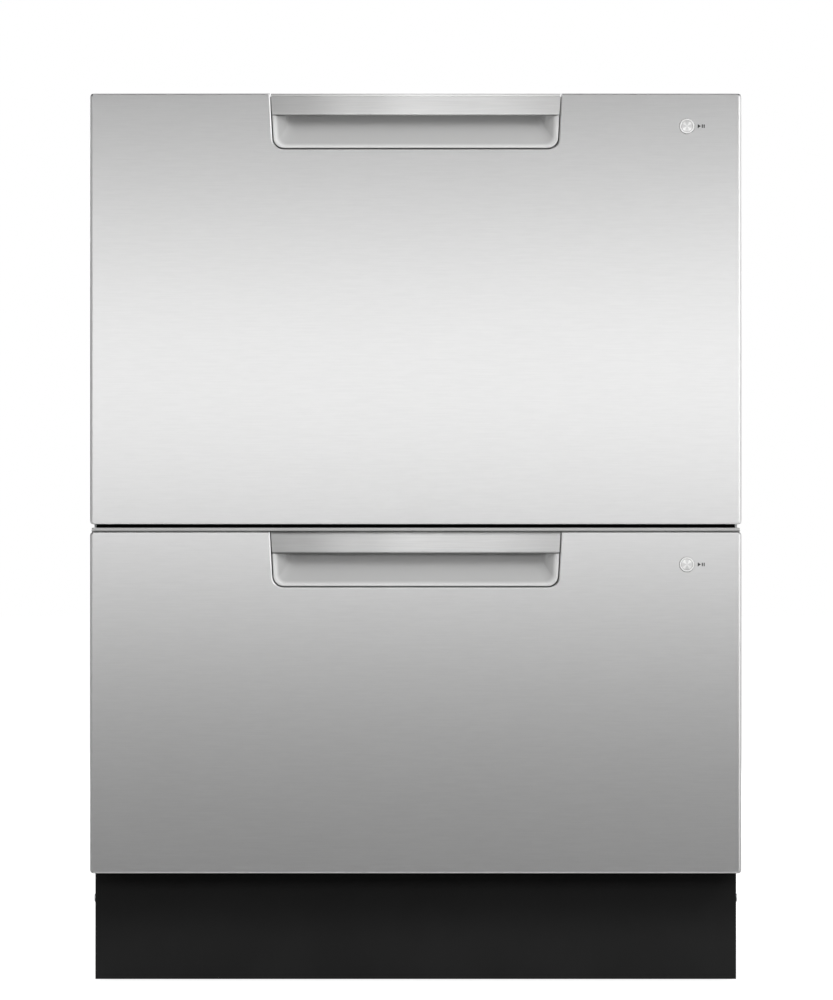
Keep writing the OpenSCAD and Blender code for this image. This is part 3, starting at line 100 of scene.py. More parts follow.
class Wiring:
    """Adds and joins the shader nodes of one tree."""

    def __init__(self, tree: bpy.types.NodeTree) -> None:
        """Starts with the tree that the nodes go into."""
        self.tree = tree

    def feed(self, slot: Socket, value: Feed) -> None:
        """Gives an input what it reads.

        Args:
            slot: The input.
            value: Another node's output, or a fixed value.
        """
        if isinstance(value, bpy.types.NodeSocket):
            self.tree.links.new(value, slot)
        else:
            slot.default_value = value

    def add(self, kind: str, **values: Feed) -> bpy.types.Node:
        """Adds a node.

        Args:
            kind: Its type, after the prefix that all shader nodes have.
            **values: What its inputs read, by their names, with an underscore for each space.

        Returns:
            The new node.
        """
        node = self.tree.nodes.new("ShaderNode" + kind)
        for name, value in values.items():
            self.feed(node.inputs[name.replace("_", " ")], value)
        return node

    def maths(self, operation: str, *values: Feed) -> Socket:
        """Works out one operation.

        Args:
            operation: The operation, as Blender names it.
            *values: What it works on, in order.

        Returns:
            The result.
        """
        node = self.add("Math")
        node.operation = operation
        for slot, value in zip(node.inputs, values):
            self.feed(slot, value)
        return node.outputs["Value"]

    def span(self, value: Socket, low: float, high: float, source: Point2 = (0.0, 1.0)) -> Socket:
        """Returns the value with its source range mapped to low and high."""
        return self.add("MapRange", Value=value, From_Min=source[0], From_Max=source[1],
                        To_Min=low, To_Max=high).outputs["Result"]


class NodeSketch(Wiring):
    """Builds one material's nodes, with short names for what every finish here uses."""

    def __init__(self, name: str, colour: Colour) -> None:
        """Starts a material with one shader.

        Args:
            name: The material's name.
            colour: The shader's base colour.
        """
        self.material = bpy.data.materials.new(name)
        self.material.use_nodes = True
        self.material.diffuse_color = (*colour, 1.0)
        super().__init__(self.material.node_tree)
        self.shader = self.tree.nodes["Principled BSDF"]
        self.paint((*colour, 1.0))
        self.place = self.add("TexCoord")

    def put(self, socket: str, value: float) -> None:
        """Sets a number on the shader's own socket."""
        self.shader.inputs[socket].default_value = value

    def paint(self, colour: Feed) -> None:
        """Gives the shader its base colour."""
        self.feed(self.shader.inputs["Base Color"], colour)

    def polish(self, value: Socket, low: float, high: float) -> None:
        """Lets the roughness run from low to high with the value."""
        self.feed(self.shader.inputs["Roughness"], self.span(value, low, high))

    def mapped(self, scale: Point3, shift: Point3 = (0, 0, 0), turn: Point3 = (0, 0, 0)) -> Socket:
        """Returns object coordinates, scaled, turned and then shifted."""
        return self.add("Mapping", Vector=self.place.outputs["Object"], Scale=scale, Rotation=turn,
                        Location=shift).outputs["Vector"]

    def noise(self, vector: Socket, scale: float, detail: float) -> Socket:
        """Returns a noise value from 0 to 1 over the vector."""
        return self.add("TexNoise", Vector=vector, Scale=scale, Detail=detail).outputs["Fac"]

    def cells(self, vector: Socket, scale: float) -> Socket:
        """Returns a random grey for each cell of a Voronoi pattern."""
        cell = self.add("TexVoronoi", Vector=vector, Scale=scale).outputs["Color"]
        return self.add("RGBToBW", Color=cell).outputs["Val"]

    def ramp(self, value: Socket, stops: Sequence[Point2], colour: Colour = WHITE) -> Socket:
        """Shades a colour by a value.

        Args:
            value: The value, from 0 to 1.
            stops: Where each stop lies, and its share of the colour.
            colour: The colour that is shaded.

        Returns:
            The shaded colour.
        """
        node = self.add("ValToRGB", Fac=value)
        band = node.color_ramp
        band.interpolation = "EASE"
        while len(band.elements) < len(stops):
            band.elements.new(1.0)
        for element, (place, share) in zip(band.elements, stops):
            element.position = place
            element.color = (*(min(1.0, part * share) for part in colour), 1.0)
        return node.outputs["Color"]

    def multiplied(self, one: Socket, other: Socket) -> Socket:
        """Multiplies two colours.

        Args:
            one: A colour.
            other: Another colour.

        Returns:
            Their product.
        """
        node = self.add("Mix")
        node.data_type, node.blend_type = "RGBA", "MULTIPLY"
        factor, colours, result = 0, (6, 7), 2
        self.feed(node.inputs[factor], 1.0)
        for slot, colour in zip(colours, (one, other)):
            self.feed(node.inputs[slot], colour)
        return node.outputs[result]

    def bump(self, height: Socket, depth: float) -> None:
        """Raises the surface by the height, where depth is in metres."""
        raised = self.add("Bump", Height=height, Distance=depth)
        self.feed(self.shader.inputs["Normal"], raised.outputs["Normal"])

    def axes(self, chart: str) -> dict[str, Socket]:
        """Returns the X, Y and Z of the Object or UV coordinates, by their letters."""
        return dict(self.add("SeparateXYZ", Vector=self.place.outputs[chart]).outputs.items())


@dataclass(frozen=True)
class BrushedSteel:
    """Stainless sheet with fine brush lines and wider streaks among them.

    Attributes:
        name: Material name.
        colour: Colour of the clean metal.
        roughness: Mean roughness.
        lines: Direction of the brush lines.
        depth: Depth of the lines in metres.
        contrast: How far the lines lighten and darken the colour.
        swing: How far the roughness wanders.
        streak: Scale of the streaks beside that of the lines, across them and along them.
        streak_shift: How far the streaks' noise is moved from the lines'.
    """

    name: str
    colour: Colour
    roughness: float
    lines: Spread = Spread.LEVEL
    depth: float = 0.00001
    contrast: float = 0.017
    swing: float = 0.035
    streak: Point2 = (0.24, 2.8)
    streak_shift: Point3 = (3.1, 7.7, 1.3)

    def build(self) -> bpy.types.Material:
        """Builds the material's nodes.

        Returns:
            The finished material.
        """
        sketch = NodeSketch(self.name, self.colour)
        sketch.put("Metallic", 1.0)
        across, along = self.streak
        fine_scale = Spread.LEVEL.value[1]
        wide = tuple(v * (across if v == fine_scale else along) for v in self.lines.value)
        fine = sketch.noise(sketch.mapped(self.lines.value), 1.0, 4.0)
        streaks = sketch.noise(sketch.mapped(wide, self.streak_shift), 1.0, 2.0)
        tone = sketch.ramp(fine, ((0.25, 1 - self.contrast), (0.75, 1 + self.contrast)), self.colour)
        cloud = sketch.ramp(streaks, ((0.3, 1 - self.contrast), (0.7, 1.0)))
        sketch.paint(sketch.multiplied(tone, cloud))
        sketch.polish(fine, self.roughness - self.swing, self.roughness + self.swing)
        sketch.bump(fine, self.depth)
        return sketch.material


@dataclass(frozen=True)
class GripSteel:
    """The grip's brushed metal, with a painted reflection along it that is brighter towards its middle.

    Attributes:
        name: Material name.
        colour: Brightest colour.
        half: Half the grip's length in metres.
        roughness: Mean roughness.
        swing: How far the roughness wanders.
        painted_reflection: Painted reflection along the grip, as places from 0 to 1 and shares of the colour.
        lines: Scale of the brush lines along X, Y and Z per metre.
        slant: Slant of the brush lines in degrees.
        depth: Depth of the lines in metres.
    """

    name: str
    colour: Colour
    half: float
    roughness: float
    swing: float = 0.05
    painted_reflection: Outline = ((0.0, 0.56), (0.1, 0.62), (0.3, 0.84), (0.5, 1.0), (0.72, 0.95), (1.0, 0.8))
    lines: Point3 = (26.0, 900.0, 900.0)
    slant: float = 14.0
    depth: float = 0.00001

    def build(self) -> bpy.types.Material:
        """Builds the material's nodes.

        Returns:
            The finished material.
        """
        sketch = NodeSketch(self.name, self.colour)
        sketch.put("Metallic", 1.0)
        along = sketch.span(sketch.axes("Object")["X"], 0.0, 1.0, (-self.half, self.half))
        fine = sketch.noise(sketch.mapped(self.lines, turn=(0.0, math.radians(self.slant), 0.0)), 1.0, 4.0)
        grain = sketch.ramp(fine, ((0.2, 0.93), (0.8, 1.0)))
        # The ramp along X is a painted reflection, brighter in the middle and darker at the ends.
        sketch.paint(sketch.multiplied(sketch.ramp(along, self.painted_reflection, self.colour), grain))
        sketch.polish(fine, self.roughness - self.swing, self.roughness + self.swing)
        sketch.bump(fine, self.depth)
        return sketch.material


@dataclass(frozen=True)
class SpunMetal:
    """Turned metal with a painted highlight, a cross of rays such as its ring marks catch from the light, and
    painted shade in its groove, laid out on the piece's own UV map.

    Attributes:
        name: Material name.
        colour: Colour of the painted rays and of the rim.
        rays: How many painted rays the cross has.
        focus: How narrow the painted rays are.
        wedge: Colour of the wedges between the painted rays, as a share of it.
        disc: Radius of the turned disc, as a share of the whole.
        groove: Distance of the groove's middle beyond the disc, and half its width, as shares too.
        painted_groove_shade: Colour of the groove's painted shade, as a share.
        roughness: Mean roughness.
        metal: How metallic it is.
    """

    name: str
    colour: Colour
    rays: int = 4
    focus: float = 3.0
    wedge: float = 0.74
    disc: float = 0.72
    groove: Point2 = (0.03, 0.035)
    painted_groove_shade: float = 0.62
    roughness: float = 0.3
    metal: float = 0.25

    def build(self) -> bpy.types.Material:
        """Builds the material's nodes.

        Returns:
            The finished material.
        """
        sketch = NodeSketch(self.name, self.colour)
        sketch.put("Metallic", self.metal)
        sketch.put("Roughness", self.roughness)
        axes = sketch.axes("UV")
        # Painted highlight: a cross of rays by angle round the button's middle, in place of the light caught
        # by the ring marks.
        turn = sketch.maths("MULTIPLY", sketch.maths("ARCTAN2", axes["Y"], axes["X"]), self.rays / 2)
        rays = sketch.maths("POWER", sketch.maths("ABSOLUTE", sketch.maths("SINE", turn)), self.focus)
        squares = [sketch.maths("MULTIPLY", axes[name], axes[name]) for name in "XY"]
        reach = sketch.maths("SQRT", sketch.maths("ADD", *squares))
        painted_glint = sketch.maths("MAXIMUM", rays, sketch.maths("GREATER_THAN", reach, self.disc))
        beyond, width = self.groove
        # Painted shade in the groove between the turned disc and the rim.
        groove = sketch.maths("COMPARE", reach, self.disc + beyond, width)
        tone = sketch.multiplied(sketch.ramp(painted_glint, ((0.0, self.wedge), (1.0, 1.0)), self.colour),
                                 sketch.ramp(groove, ((0.0, 1.0), (1.0, self.painted_groove_shade))))
        marks = sketch.noise(sketch.mapped(Spread.EVEN.value), 900.0, 2.0)
        sketch.paint(sketch.multiplied(tone, sketch.ramp(marks, ((0.3, 0.95), (0.7, 1.0)))))
        return sketch.material


@dataclass(frozen=True)
class Moulding:
    """Moulded plastic with a fine eroded texture and a little mottling.

    Attributes:
        name: Material name.
        colour: Mean colour.
        roughness: Mean roughness.
        grain: Texture cells per metre.
        depth: Texture depth in metres.
        mottle: How far the colour wanders.
        coat: Weight of a clear gloss coat.
        coat_roughness: Roughness of that coat.
        swing: How far the roughness wanders.
        patches: Patches of colour per metre.
    """

    name: str
    colour: Colour
    roughness: float = 0.45
    grain: float = 1600.0
    depth: float = 0.00002
    mottle: float = 0.03
    coat: float = 0.0
    coat_roughness: float = 0.12
    swing: float = 0.04
    patches: float = 14.0

    def build(self) -> bpy.types.Material:
        """Builds the material's nodes.

        Returns:
            The finished material.
        """
        sketch = NodeSketch(self.name, self.colour)
        place = sketch.mapped(Spread.EVEN.value)
        slow = sketch.noise(place, self.patches, 3.0)
        sketch.paint(sketch.ramp(slow, ((0.3, 1 - self.mottle), (0.7, 1 + self.mottle)), self.colour))
        sketch.polish(slow, self.roughness - self.swing, self.roughness + self.swing)
        sketch.put("Coat Weight", self.coat)
        sketch.put("Coat Roughness", self.coat_roughness)
        sketch.bump(sketch.noise(place, self.grain, 2.0), self.depth)
        return sketch.material


@dataclass(frozen=True)
class ScoopFinish:
    """The finger pocket's satin moulding, with painted shade that darkens it from its rim into its depth,
    where it is also rougher.

    Attributes:
        name: Material name.
        colour: Colour of the rim.
        front: Where the rim stands along Y.
        fade: Where the painted shade of the depth starts and is full, in metres behind the front.
        recess_shade: Colour of the depth under its painted shade, as a share of the rim's.
        roughness: Roughness of the rim.
        rougher: How much rougher the depth is.
        patches: Patches of colour per metre.
        grain: Texture cells per metre.
        grain_depth: Depth of the texture in metres.
    """

    name: str
    colour: Colour
    front: float
    fade: Point2 = (1.0 * MM, 3.4 * MM)
    recess_shade: float = 0.64
    roughness: float = 0.34
    rougher: float = 0.16
    patches: float = 14.0
    grain: float = 2200.0
    grain_depth: float = 0.000008

    def build(self) -> bpy.types.Material:
        """Builds the material's nodes.

        Returns:
            The finished material.
        """
        sketch = NodeSketch(self.name, self.colour)
        place = sketch.mapped(Spread.EVEN.value)
        start, end = self.fade
        # Painted shade: the colour darkens with depth behind the rim, in place of the recess's shade.
        depth = sketch.span(sketch.axes("Object")["Y"], 0.0, 1.0, (self.front + start, self.front + end))
        tone = sketch.ramp(depth, ((0.0, 1.0), (1.0, self.recess_shade)), self.colour)
        mottle = sketch.ramp(sketch.noise(place, self.patches, 3.0), ((0.3, 0.985), (0.7, 1.0)))
        sketch.paint(sketch.multiplied(tone, mottle))
        sketch.polish(depth, self.roughness, self.roughness + self.rougher)
        sketch.bump(sketch.noise(place, self.grain, 2.0), self.grain_depth)
        return sketch.material


@dataclass(frozen=True)
class GalvanisedSheet:
    """Zinc-coated sheet with its pattern of crystals.

    Attributes:
        name: Material name.
        colour: Mean colour.
        roughness: Mean roughness.
        crystals: Crystals per metre.
        metal: How metallic the dull coating is.
        swing: How far the roughness wanders.
        waves: Waves of the surface per metre.
        depth: Depth of the waves in metres.
    """

    name: str
    colour: Colour
    roughness: float
    crystals: float = 70.0
    metal: float = 0.6
    swing: float = 0.04
    waves: float = 260.0
    depth: float = 0.00003

    def build(self) -> bpy.types.Material:
        """Builds the material's nodes.

        Returns:
            The finished material.
        """
        sketch = NodeSketch(self.name, self.colour)
        sketch.put("Metallic", self.metal)
        place = sketch.mapped(Spread.EVEN.value)
        cell = sketch.cells(place, self.crystals)
        sketch.paint(sketch.ramp(cell, ((0.1, 0.95), (0.9, 1.04)), self.colour))
        sketch.polish(cell, self.roughness - self.swing, self.roughness + self.swing)
        sketch.bump(sketch.noise(place, self.waves, 2.0), self.depth)
        return sketch.material


@dataclass(frozen=True)
class SatinPaint:
    """Powder-coated metal.

    Attributes:
        name: Material name.
        colour: Mean colour.
        roughness: Mean roughness.
        gloss: Specular level.
        painted_shadow: Heights between which the paint darkens upwards, a painted shadow under the part
            above.
        shadow_share: Colour at the upper of these heights under the painted shadow, as a share of the rest's.
        peel: Depth of the coat's texture in metres.
        dimples: Dimples of the texture per metre.
        patches: Patches of colour per metre.
        swing: How far the roughness wanders.
    """

    name: str
    colour: Colour
    roughness: float
    gloss: float = 0.5
    painted_shadow: Point2 | None = None
    shadow_share: float = 0.42
    peel: float = 0.000015
    dimples: float = 700.0
    patches: float = 9.0
    swing: float = 0.03

    def build(self) -> bpy.types.Material:
        """Builds the material's nodes.

        Returns:
            The finished material.
        """
        sketch = NodeSketch(self.name, self.colour)
        sketch.put("Specular IOR Level", self.gloss)
        place = sketch.mapped(Spread.EVEN.value)
        slow = sketch.noise(place, self.patches, 3.0)
        tone = sketch.ramp(slow, ((0.3, 0.9), (0.7, 1.1)), self.colour)
        # Painted shadow: the colour darkens towards the top, where the part above overhangs it.
        if self.painted_shadow:
            height = sketch.span(sketch.axes("Object")["Z"], 0.0, 1.0, self.painted_shadow)
            tone = sketch.multiplied(tone, sketch.ramp(height, ((0.0, 1.0), (1.0, self.shadow_share))))
        sketch.paint(tone)
        sketch.polish(slow, self.roughness - self.swing, self.roughness + self.swing)
        sketch.bump(sketch.noise(place, self.dimples, 2.0), self.peel)
        return sketch.material


class Palette:
    """Every finish of the machine, built once and found by name."""

    def __init__(self) -> None:
        """Builds the materials."""
        finishes = [
            BrushedSteel("steel_skin", (0.768, 0.768, 0.767), 0.354),
            GripSteel("steel_grip", (0.955, 0.955, 0.95), 0.135, 0.36),
            SpunMetal("button_metal", (0.95, 0.95, 0.945)),
            Moulding("frame_moulding", (0.30, 0.31, 0.32)),
            Moulding("cap_moulding", (0.46, 0.46, 0.457), 0.42),
            ScoopFinish("pocket_moulding", (0.70, 0.70, 0.697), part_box("upper_handle_pocket")[0].y),
            Moulding("tub_moulding", (0.70, 0.71, 0.71), 0.38, 900.0, 0.00001, 0.02),
            BrushedSteel("runner_steel", (0.66, 0.67, 0.68), 0.34, Spread.DEEP),
            Moulding("motor_black", (0.035, 0.036, 0.04), 0.5),
            Moulding("rotor_plastic", (0.10, 0.10, 0.11), 0.4),
            Moulding("filter_plastic", (0.33, 0.34, 0.35), 0.45),
            Moulding("spray_plastic", (0.22, 0.23, 0.25), 0.4),
            Moulding("coated_wire", (0.52, 0.53, 0.54), 0.3, 500.0, 0.00002, 0.02, 0.3),
            Moulding("tine_wire", (0.19, 0.24, 0.30), 0.3, 500.0, 0.00002, 0.02, 0.3),
            Moulding("cup_rack_plastic", (0.36, 0.40, 0.44), 0.42),
            Moulding("basket_plastic", (0.27, 0.29, 0.32), 0.44),
            Moulding("dispenser_plastic", (0.58, 0.59, 0.60), 0.42),
            Moulding("door_plastic", (0.66, 0.67, 0.68), 0.25, 1600.0, 0.00001, 0.01, 0.4),
            Moulding("lid_moulding", (0.64, 0.65, 0.65), 0.42),
            Moulding("seal_rubber", (0.04, 0.04, 0.042), 0.6),
            Moulding("actuator_black", (0.05, 0.05, 0.055), 0.5),
            Moulding("hose_rubber", (0.075, 0.076, 0.08), 0.55),
            Moulding("tray_plastic", (0.07, 0.074, 0.08), 0.5),
            GalvanisedSheet("zinc_sheet", (0.6, 0.613, 0.618), 0.6),
            # Near black, darker than plain black paint: painted shade of the gap between the two drawers.
            SatinPaint("rail_black", (0.0015, 0.0015, 0.0015), 0.6, 0.08),
            # The kick plate's paint darkens towards its top: a painted shadow under the lower drawer.
            SatinPaint("kick_black", (0.0162, 0.0162, 0.0163), 0.42, 0.2, (0.03, 0.1)),
            Moulding("foot_black", (0.03, 0.03, 0.03), 0.5),
            BrushedSteel("screw_steel", (0.60, 0.61, 0.62), 0.3, Spread.EVEN),
            Moulding("valve_plastic", (0.72, 0.72, 0.68), 0.4),
            Moulding("drain_plastic", (0.09, 0.09, 0.10), 0.4),
            Moulding("box_black", (0.05, 0.05, 0.05), 0.5),
            SatinPaint("mark_ink", (0.02, 0.02, 0.02), 0.6),
        ]
        self.found = {finish.name: finish.build() for finish in finishes}
        LOG.info("palette: %d finishes", len(self.found))

    def __getitem__(self, name: str) -> bpy.types.Material:
        """Returns a finish by name."""
        return self.found[name]


# ---------------------------------------------------------------- mesh tools


def ring(bm: BMesh, points: Iterable[Sequence[float]]) -> list[BMEdge]:
    """Adds a closed loop of edges through the points, and returns the edges."""
    verts = [bm.verts.new(p) for p in points]
    return [bm.edges.new((a, b)) for a, b in zip(verts, verts[1:] + verts[:1])]


def bridge(bm: BMesh, loops: Sequence[list[BMEdge]]) -> None:
    """Joins each loop to the next with faces."""
    for a, b in zip(loops, loops[1:]):
        bmesh.ops.bridge_loops(bm, edges=a + b)


def cap(bm: BMesh, loop: list[BMEdge], *holes: list[BMEdge]) -> None:
    """Fills a flat loop, leaving the holes open."""
    edges = list(loop) + [e for h in holes for e in h]
    bmesh.ops.triangle_fill(bm, use_beauty=True, use_dissolve=False, edges=edges)


def arc(centre: Point2, radius: float, start: float, end: float, steps: int) -> list[Point2]:
    """Returns points on an arc, with angles in degrees."""
    turns = (math.radians(start + (end - start) * i / steps) for i in range(steps + 1))
    return [(centre[0] + radius * math.cos(a), centre[1] + radius * math.sin(a)) for a in turns]


def lathe(bm: BMesh, profile: Sequence[Point2], centre: Point3, axis: Point3, steps: int) -> None:
    """Spins a profile round an axis.

    Args:
        bm: The mesh to add to.
        profile: Points as radius and distance along the axis, both ends on the axis for a closed solid.
        centre: A point on the axis, where the distance is 0.
        axis: The axis, as a unit vector along X, Y or Z.
        steps: Faces round the axis.
    """
    turn = Vector((0, 0, 1)).rotation_difference(Vector(axis)).to_matrix().to_4x4()
    place = Matrix.Translation(Vector(centre)) @ turn
    verts = [bm.verts.new(place @ Vector((r, 0, h))) for r, h in profile]
    edges = [bm.edges.new(pair) for pair in zip(verts, verts[1:])]
    bmesh.ops.spin(bm, geom=verts + edges, cent=centre, axis=axis, dvec=(0, 0, 0), angle=math.tau,
                   steps=steps, use_merge=True, use_normal_flip=False, use_duplicate=False)


def prism_y(bm: BMesh, outline: Sequence[Point2], y0: float, y1: float) -> None:
    """Adds a closed prism along Y.

    Args:
        bm: The mesh to add to.
        outline: Its outline as (x, z).
        y0: Where it starts.
        y1: Where it ends.
    """
    face = bm.faces.new([bm.verts.new((x, y0, z)) for x, z in outline])
    made = bmesh.ops.extrude_face_region(bm, geom=[face])
    bmesh.ops.translate(bm, vec=(0, y1 - y0, 0), verts=[v for v in made["geom"] if isinstance(v, BMVert)])


@dataclass(frozen=True)
class Piece:
    """How a finished mesh joins the machine.

    Attributes:
        name: Name of the new object.
        body: CAD body it rides on.
        slot: Material slot and finish.
        nodes: CAD nodes it stands for.
        crease: Angle in degrees above which an edge stays sharp.
    """

    name: str
    body: str
    slot: str
    nodes: tuple[str, ...] = ()
    crease: float = 35.0

    def finish(self, bm: BMesh, palette: Palette, weighted: bool = True) -> bpy.types.Object:
        """Turns the mesh into a dressed object that rides on its body.

        Args:
            bm: The finished mesh, which is freed.
            palette: Where the finish comes from.
            weighted: Whether flat faces keep their own shading beside round edges.

        Returns:
            The new object.
        """
        bmesh.ops.remove_doubles(bm, verts=bm.verts, dist=WELD)
        bmesh.ops.recalc_face_normals(bm, faces=bm.faces)
        mesh = bpy.data.meshes.new(self.name)
        bm.to_mesh(mesh)
        bm.free()
        mesh.materials.append(palette[self.slot])
        self.shade(mesh)
        thing = bpy.data.objects.new(self.name, mesh)
        bpy.context.scene.collection.objects.link(thing)
        if weighted:
            level = thing.modifiers.new("flat_faces", "WEIGHTED_NORMAL")
            level.keep_sharp = True
        if self.nodes:
            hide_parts(*self.nodes)
        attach(thing, self.body)
        LOG.info("%s: %d faces on %s", self.name, len(mesh.polygons), self.body)
        return thing

    def shade(self, mesh: bpy.types.Mesh) -> None:
        """Smooths the mesh's shading up to the crease."""
        mesh.shade_smooth()
        mesh.set_sharp_from_angle(angle=math.radians(self.crease))


def carve(thing: bpy.types.Object, low: Point3, high: Point3) -> None:
    """Cuts a box out of an object's mesh.

    Args:
        thing: The object to cut.
        low: The box's lowest corner.
        high: The box's highest corner.
    """
    bm = bmesh.new()
    corners = bmesh.ops.create_cube(bm, size=1.0)["verts"]
    bmesh.ops.scale(bm, vec=Vector(high) - Vector(low), verts=corners)
    bmesh.ops.translate(bm, vec=(Vector(low) + Vector(high)) / 2, verts=corners)
    mesh = bpy.data.meshes.new("cutter")
    bm.to_mesh(mesh)
    bm.free()
    cutter = bpy.data.objects.new("cutter", mesh)
    bpy.context.scene.collection.objects.link(cutter)
    cut = thing.modifiers.new("cut", "BOOLEAN")
    cut.operation, cut.object, cut.solver = "DIFFERENCE", cutter, "EXACT"
    bpy.context.view_layer.update()
    solid = bpy.data.meshes.new_from_object(thing.evaluated_get(bpy.context.evaluated_depsgraph_get()))
    thing.modifiers.remove(cut)
    thing.data.clear_geometry()
    bm = bmesh.new()
    bm.from_mesh(solid)
    bm.to_mesh(thing.data)
    bm.free()
    bpy.data.objects.remove(cutter)
    for spent in (mesh, solid):
        bpy.data.meshes.remove(spent)


# ---------------------------------------------------------------- drawer fronts

# Segments of each corner of the steel skin.
CORNER_STEPS = 4
# How the skins turn back at their foot: (inset, depth) in millimetres. The lower one ends in a hem.
FOOT_ROLLS: dict[Deck, Outline] = {
    Deck.UPPER: ((0.0, 0.6), (0.03, 0.4), (0.1, 0.2), (0.2, 0.06), (0.3, 0.01), (0.5, 0.0)),
    Deck.LOWER: ((0.0, 0.5), (0.08, 0.25), (0.3, 0.05), (1.1, 0.23), (1.15, 0.1), (1.2, 0.0)),
}
# The pocket's rounded rim: (inset, depth, distance below its top) in millimetres, from the outside in.
POCKET_RIM = ((0.0, 0.9, 0.0), (0.1, 0.45, 0.4), (0.4, 0.15, 0.8), (0.8, 0.03, 1.4), (1.2, 0.0, 2.0),
              (2.1, 0.18, 2.6), (2.5, 0.5, 2.6))
# The pocket's scoop behind the rim: (share of its depth, share of its floor's rise).
SCOOP_STEPS = ((0.05, 0.015), (0.10, 0.055), (0.16, 0.115), (0.5, 0.48), (0.85, 0.855), (0.93, 0.935),
               (1.0, 1.0))
# The grip's upper edge: (depth, distance below its top) in millimetres.
GRIP_CRESTS: dict[Deck, Outline] = {
    Deck.UPPER: ((0.82, 0.0), (0.7, 1.2), (0.24, 1.95), (0.24, 2.0), (0.62, 2.3), (0.67, 2.5)),
    Deck.LOWER: ((2.0, 0.0), (0.9, 0.5), (0.62, 0.8), (0.5, 0.95), (0.5, 1.05), (0.64, 2.1), (0.67, 2.5)),
}
# The grip's lower edge: (depth, height above its foot) in millimetres.
GRIP_FOOT = ((1.01, 1.4), (1.03, 1.25), (1.15, 0.4), (1.35, 0.12), (1.9, 0.0))
# The button's head and the step down to its stem: (radius, depth) in millimetres.
BUTTON_HEAD = ((0.0, 0.22), (2.4, 0.22), (4.6, 0.24), (4.85, 0.3), (4.95, 0.5), (5.25, 0.5), (5.4, 0.2),
               (5.55, 0.05), (5.8, 0.0), (6.3, 0.0), (6.6, 0.08), (6.75, 0.3), (6.8, 0.6), (6.8, 4.0),
               (3.0, 4.0))
# The start and pause mark: (x from the button's middle, z from it) in millimetres, a triangle and two bars.
MARK_SHAPES = (((9.9, -1.9), (12.7, 0.0), (9.9, 1.9)),
               ((13.6, -1.6), (14.6, -1.6), (14.6, 1.6), (13.6, 1.6)),
               ((15.3, -1.6), (16.3, -1.6), (16.3, 1.6), (15.3, 1.6)))


@dataclass(frozen=True)
class HandleOpening:
    """The opening in the top edge of a steel front, in metres.

    Attributes:
        top: Height of the steel's top edge.
        half: Half the opening's width at the top.
        height: Height of the opening.
        lean: Lean of its side edges from upright, in degrees.
        corner: Radius of its lower corners.
    """

    top: float
    half: float = 134.1 * MM
    height: float = 51 * MM
    lean: float = 3.1
    corner: float = 10.6 * MM

    def side(self, grow: float, top: float, steps: int = 8) -> list[Point2]:
        """Draws the right half of the opening's outline.

        Args:
            grow: How far the outline moves outwards.
            top: Height where the outline starts.
            steps: Segments of the corner.

        Returns:
            Points (x, z) from the top down to where the corner meets the floor.
        """
        lean = math.radians(self.lean)
        half = self.half + grow / math.cos(lean)
        height, radius = self.height + grow, self.corner + grow
        slope = (height - radius + radius * math.sin(lean)) / math.cos(lean)
        centre = (half - slope * math.sin(lean) - radius * math.cos(lean), self.top - height + radius)
        start = (half + (top - self.top) * math.tan(lean), top)
        return [start] + arc(centre, radius, -self.lean, -90, steps)

    def outline(self, grow: float, top: float, steps: int = 10) -> list[Point2]:
        """Returns the whole outline, from the upper right corner clockwise to the upper left one."""
        right = self.side(grow, top, steps)
        return right + [(-x, z) for x, z in reversed(right)]


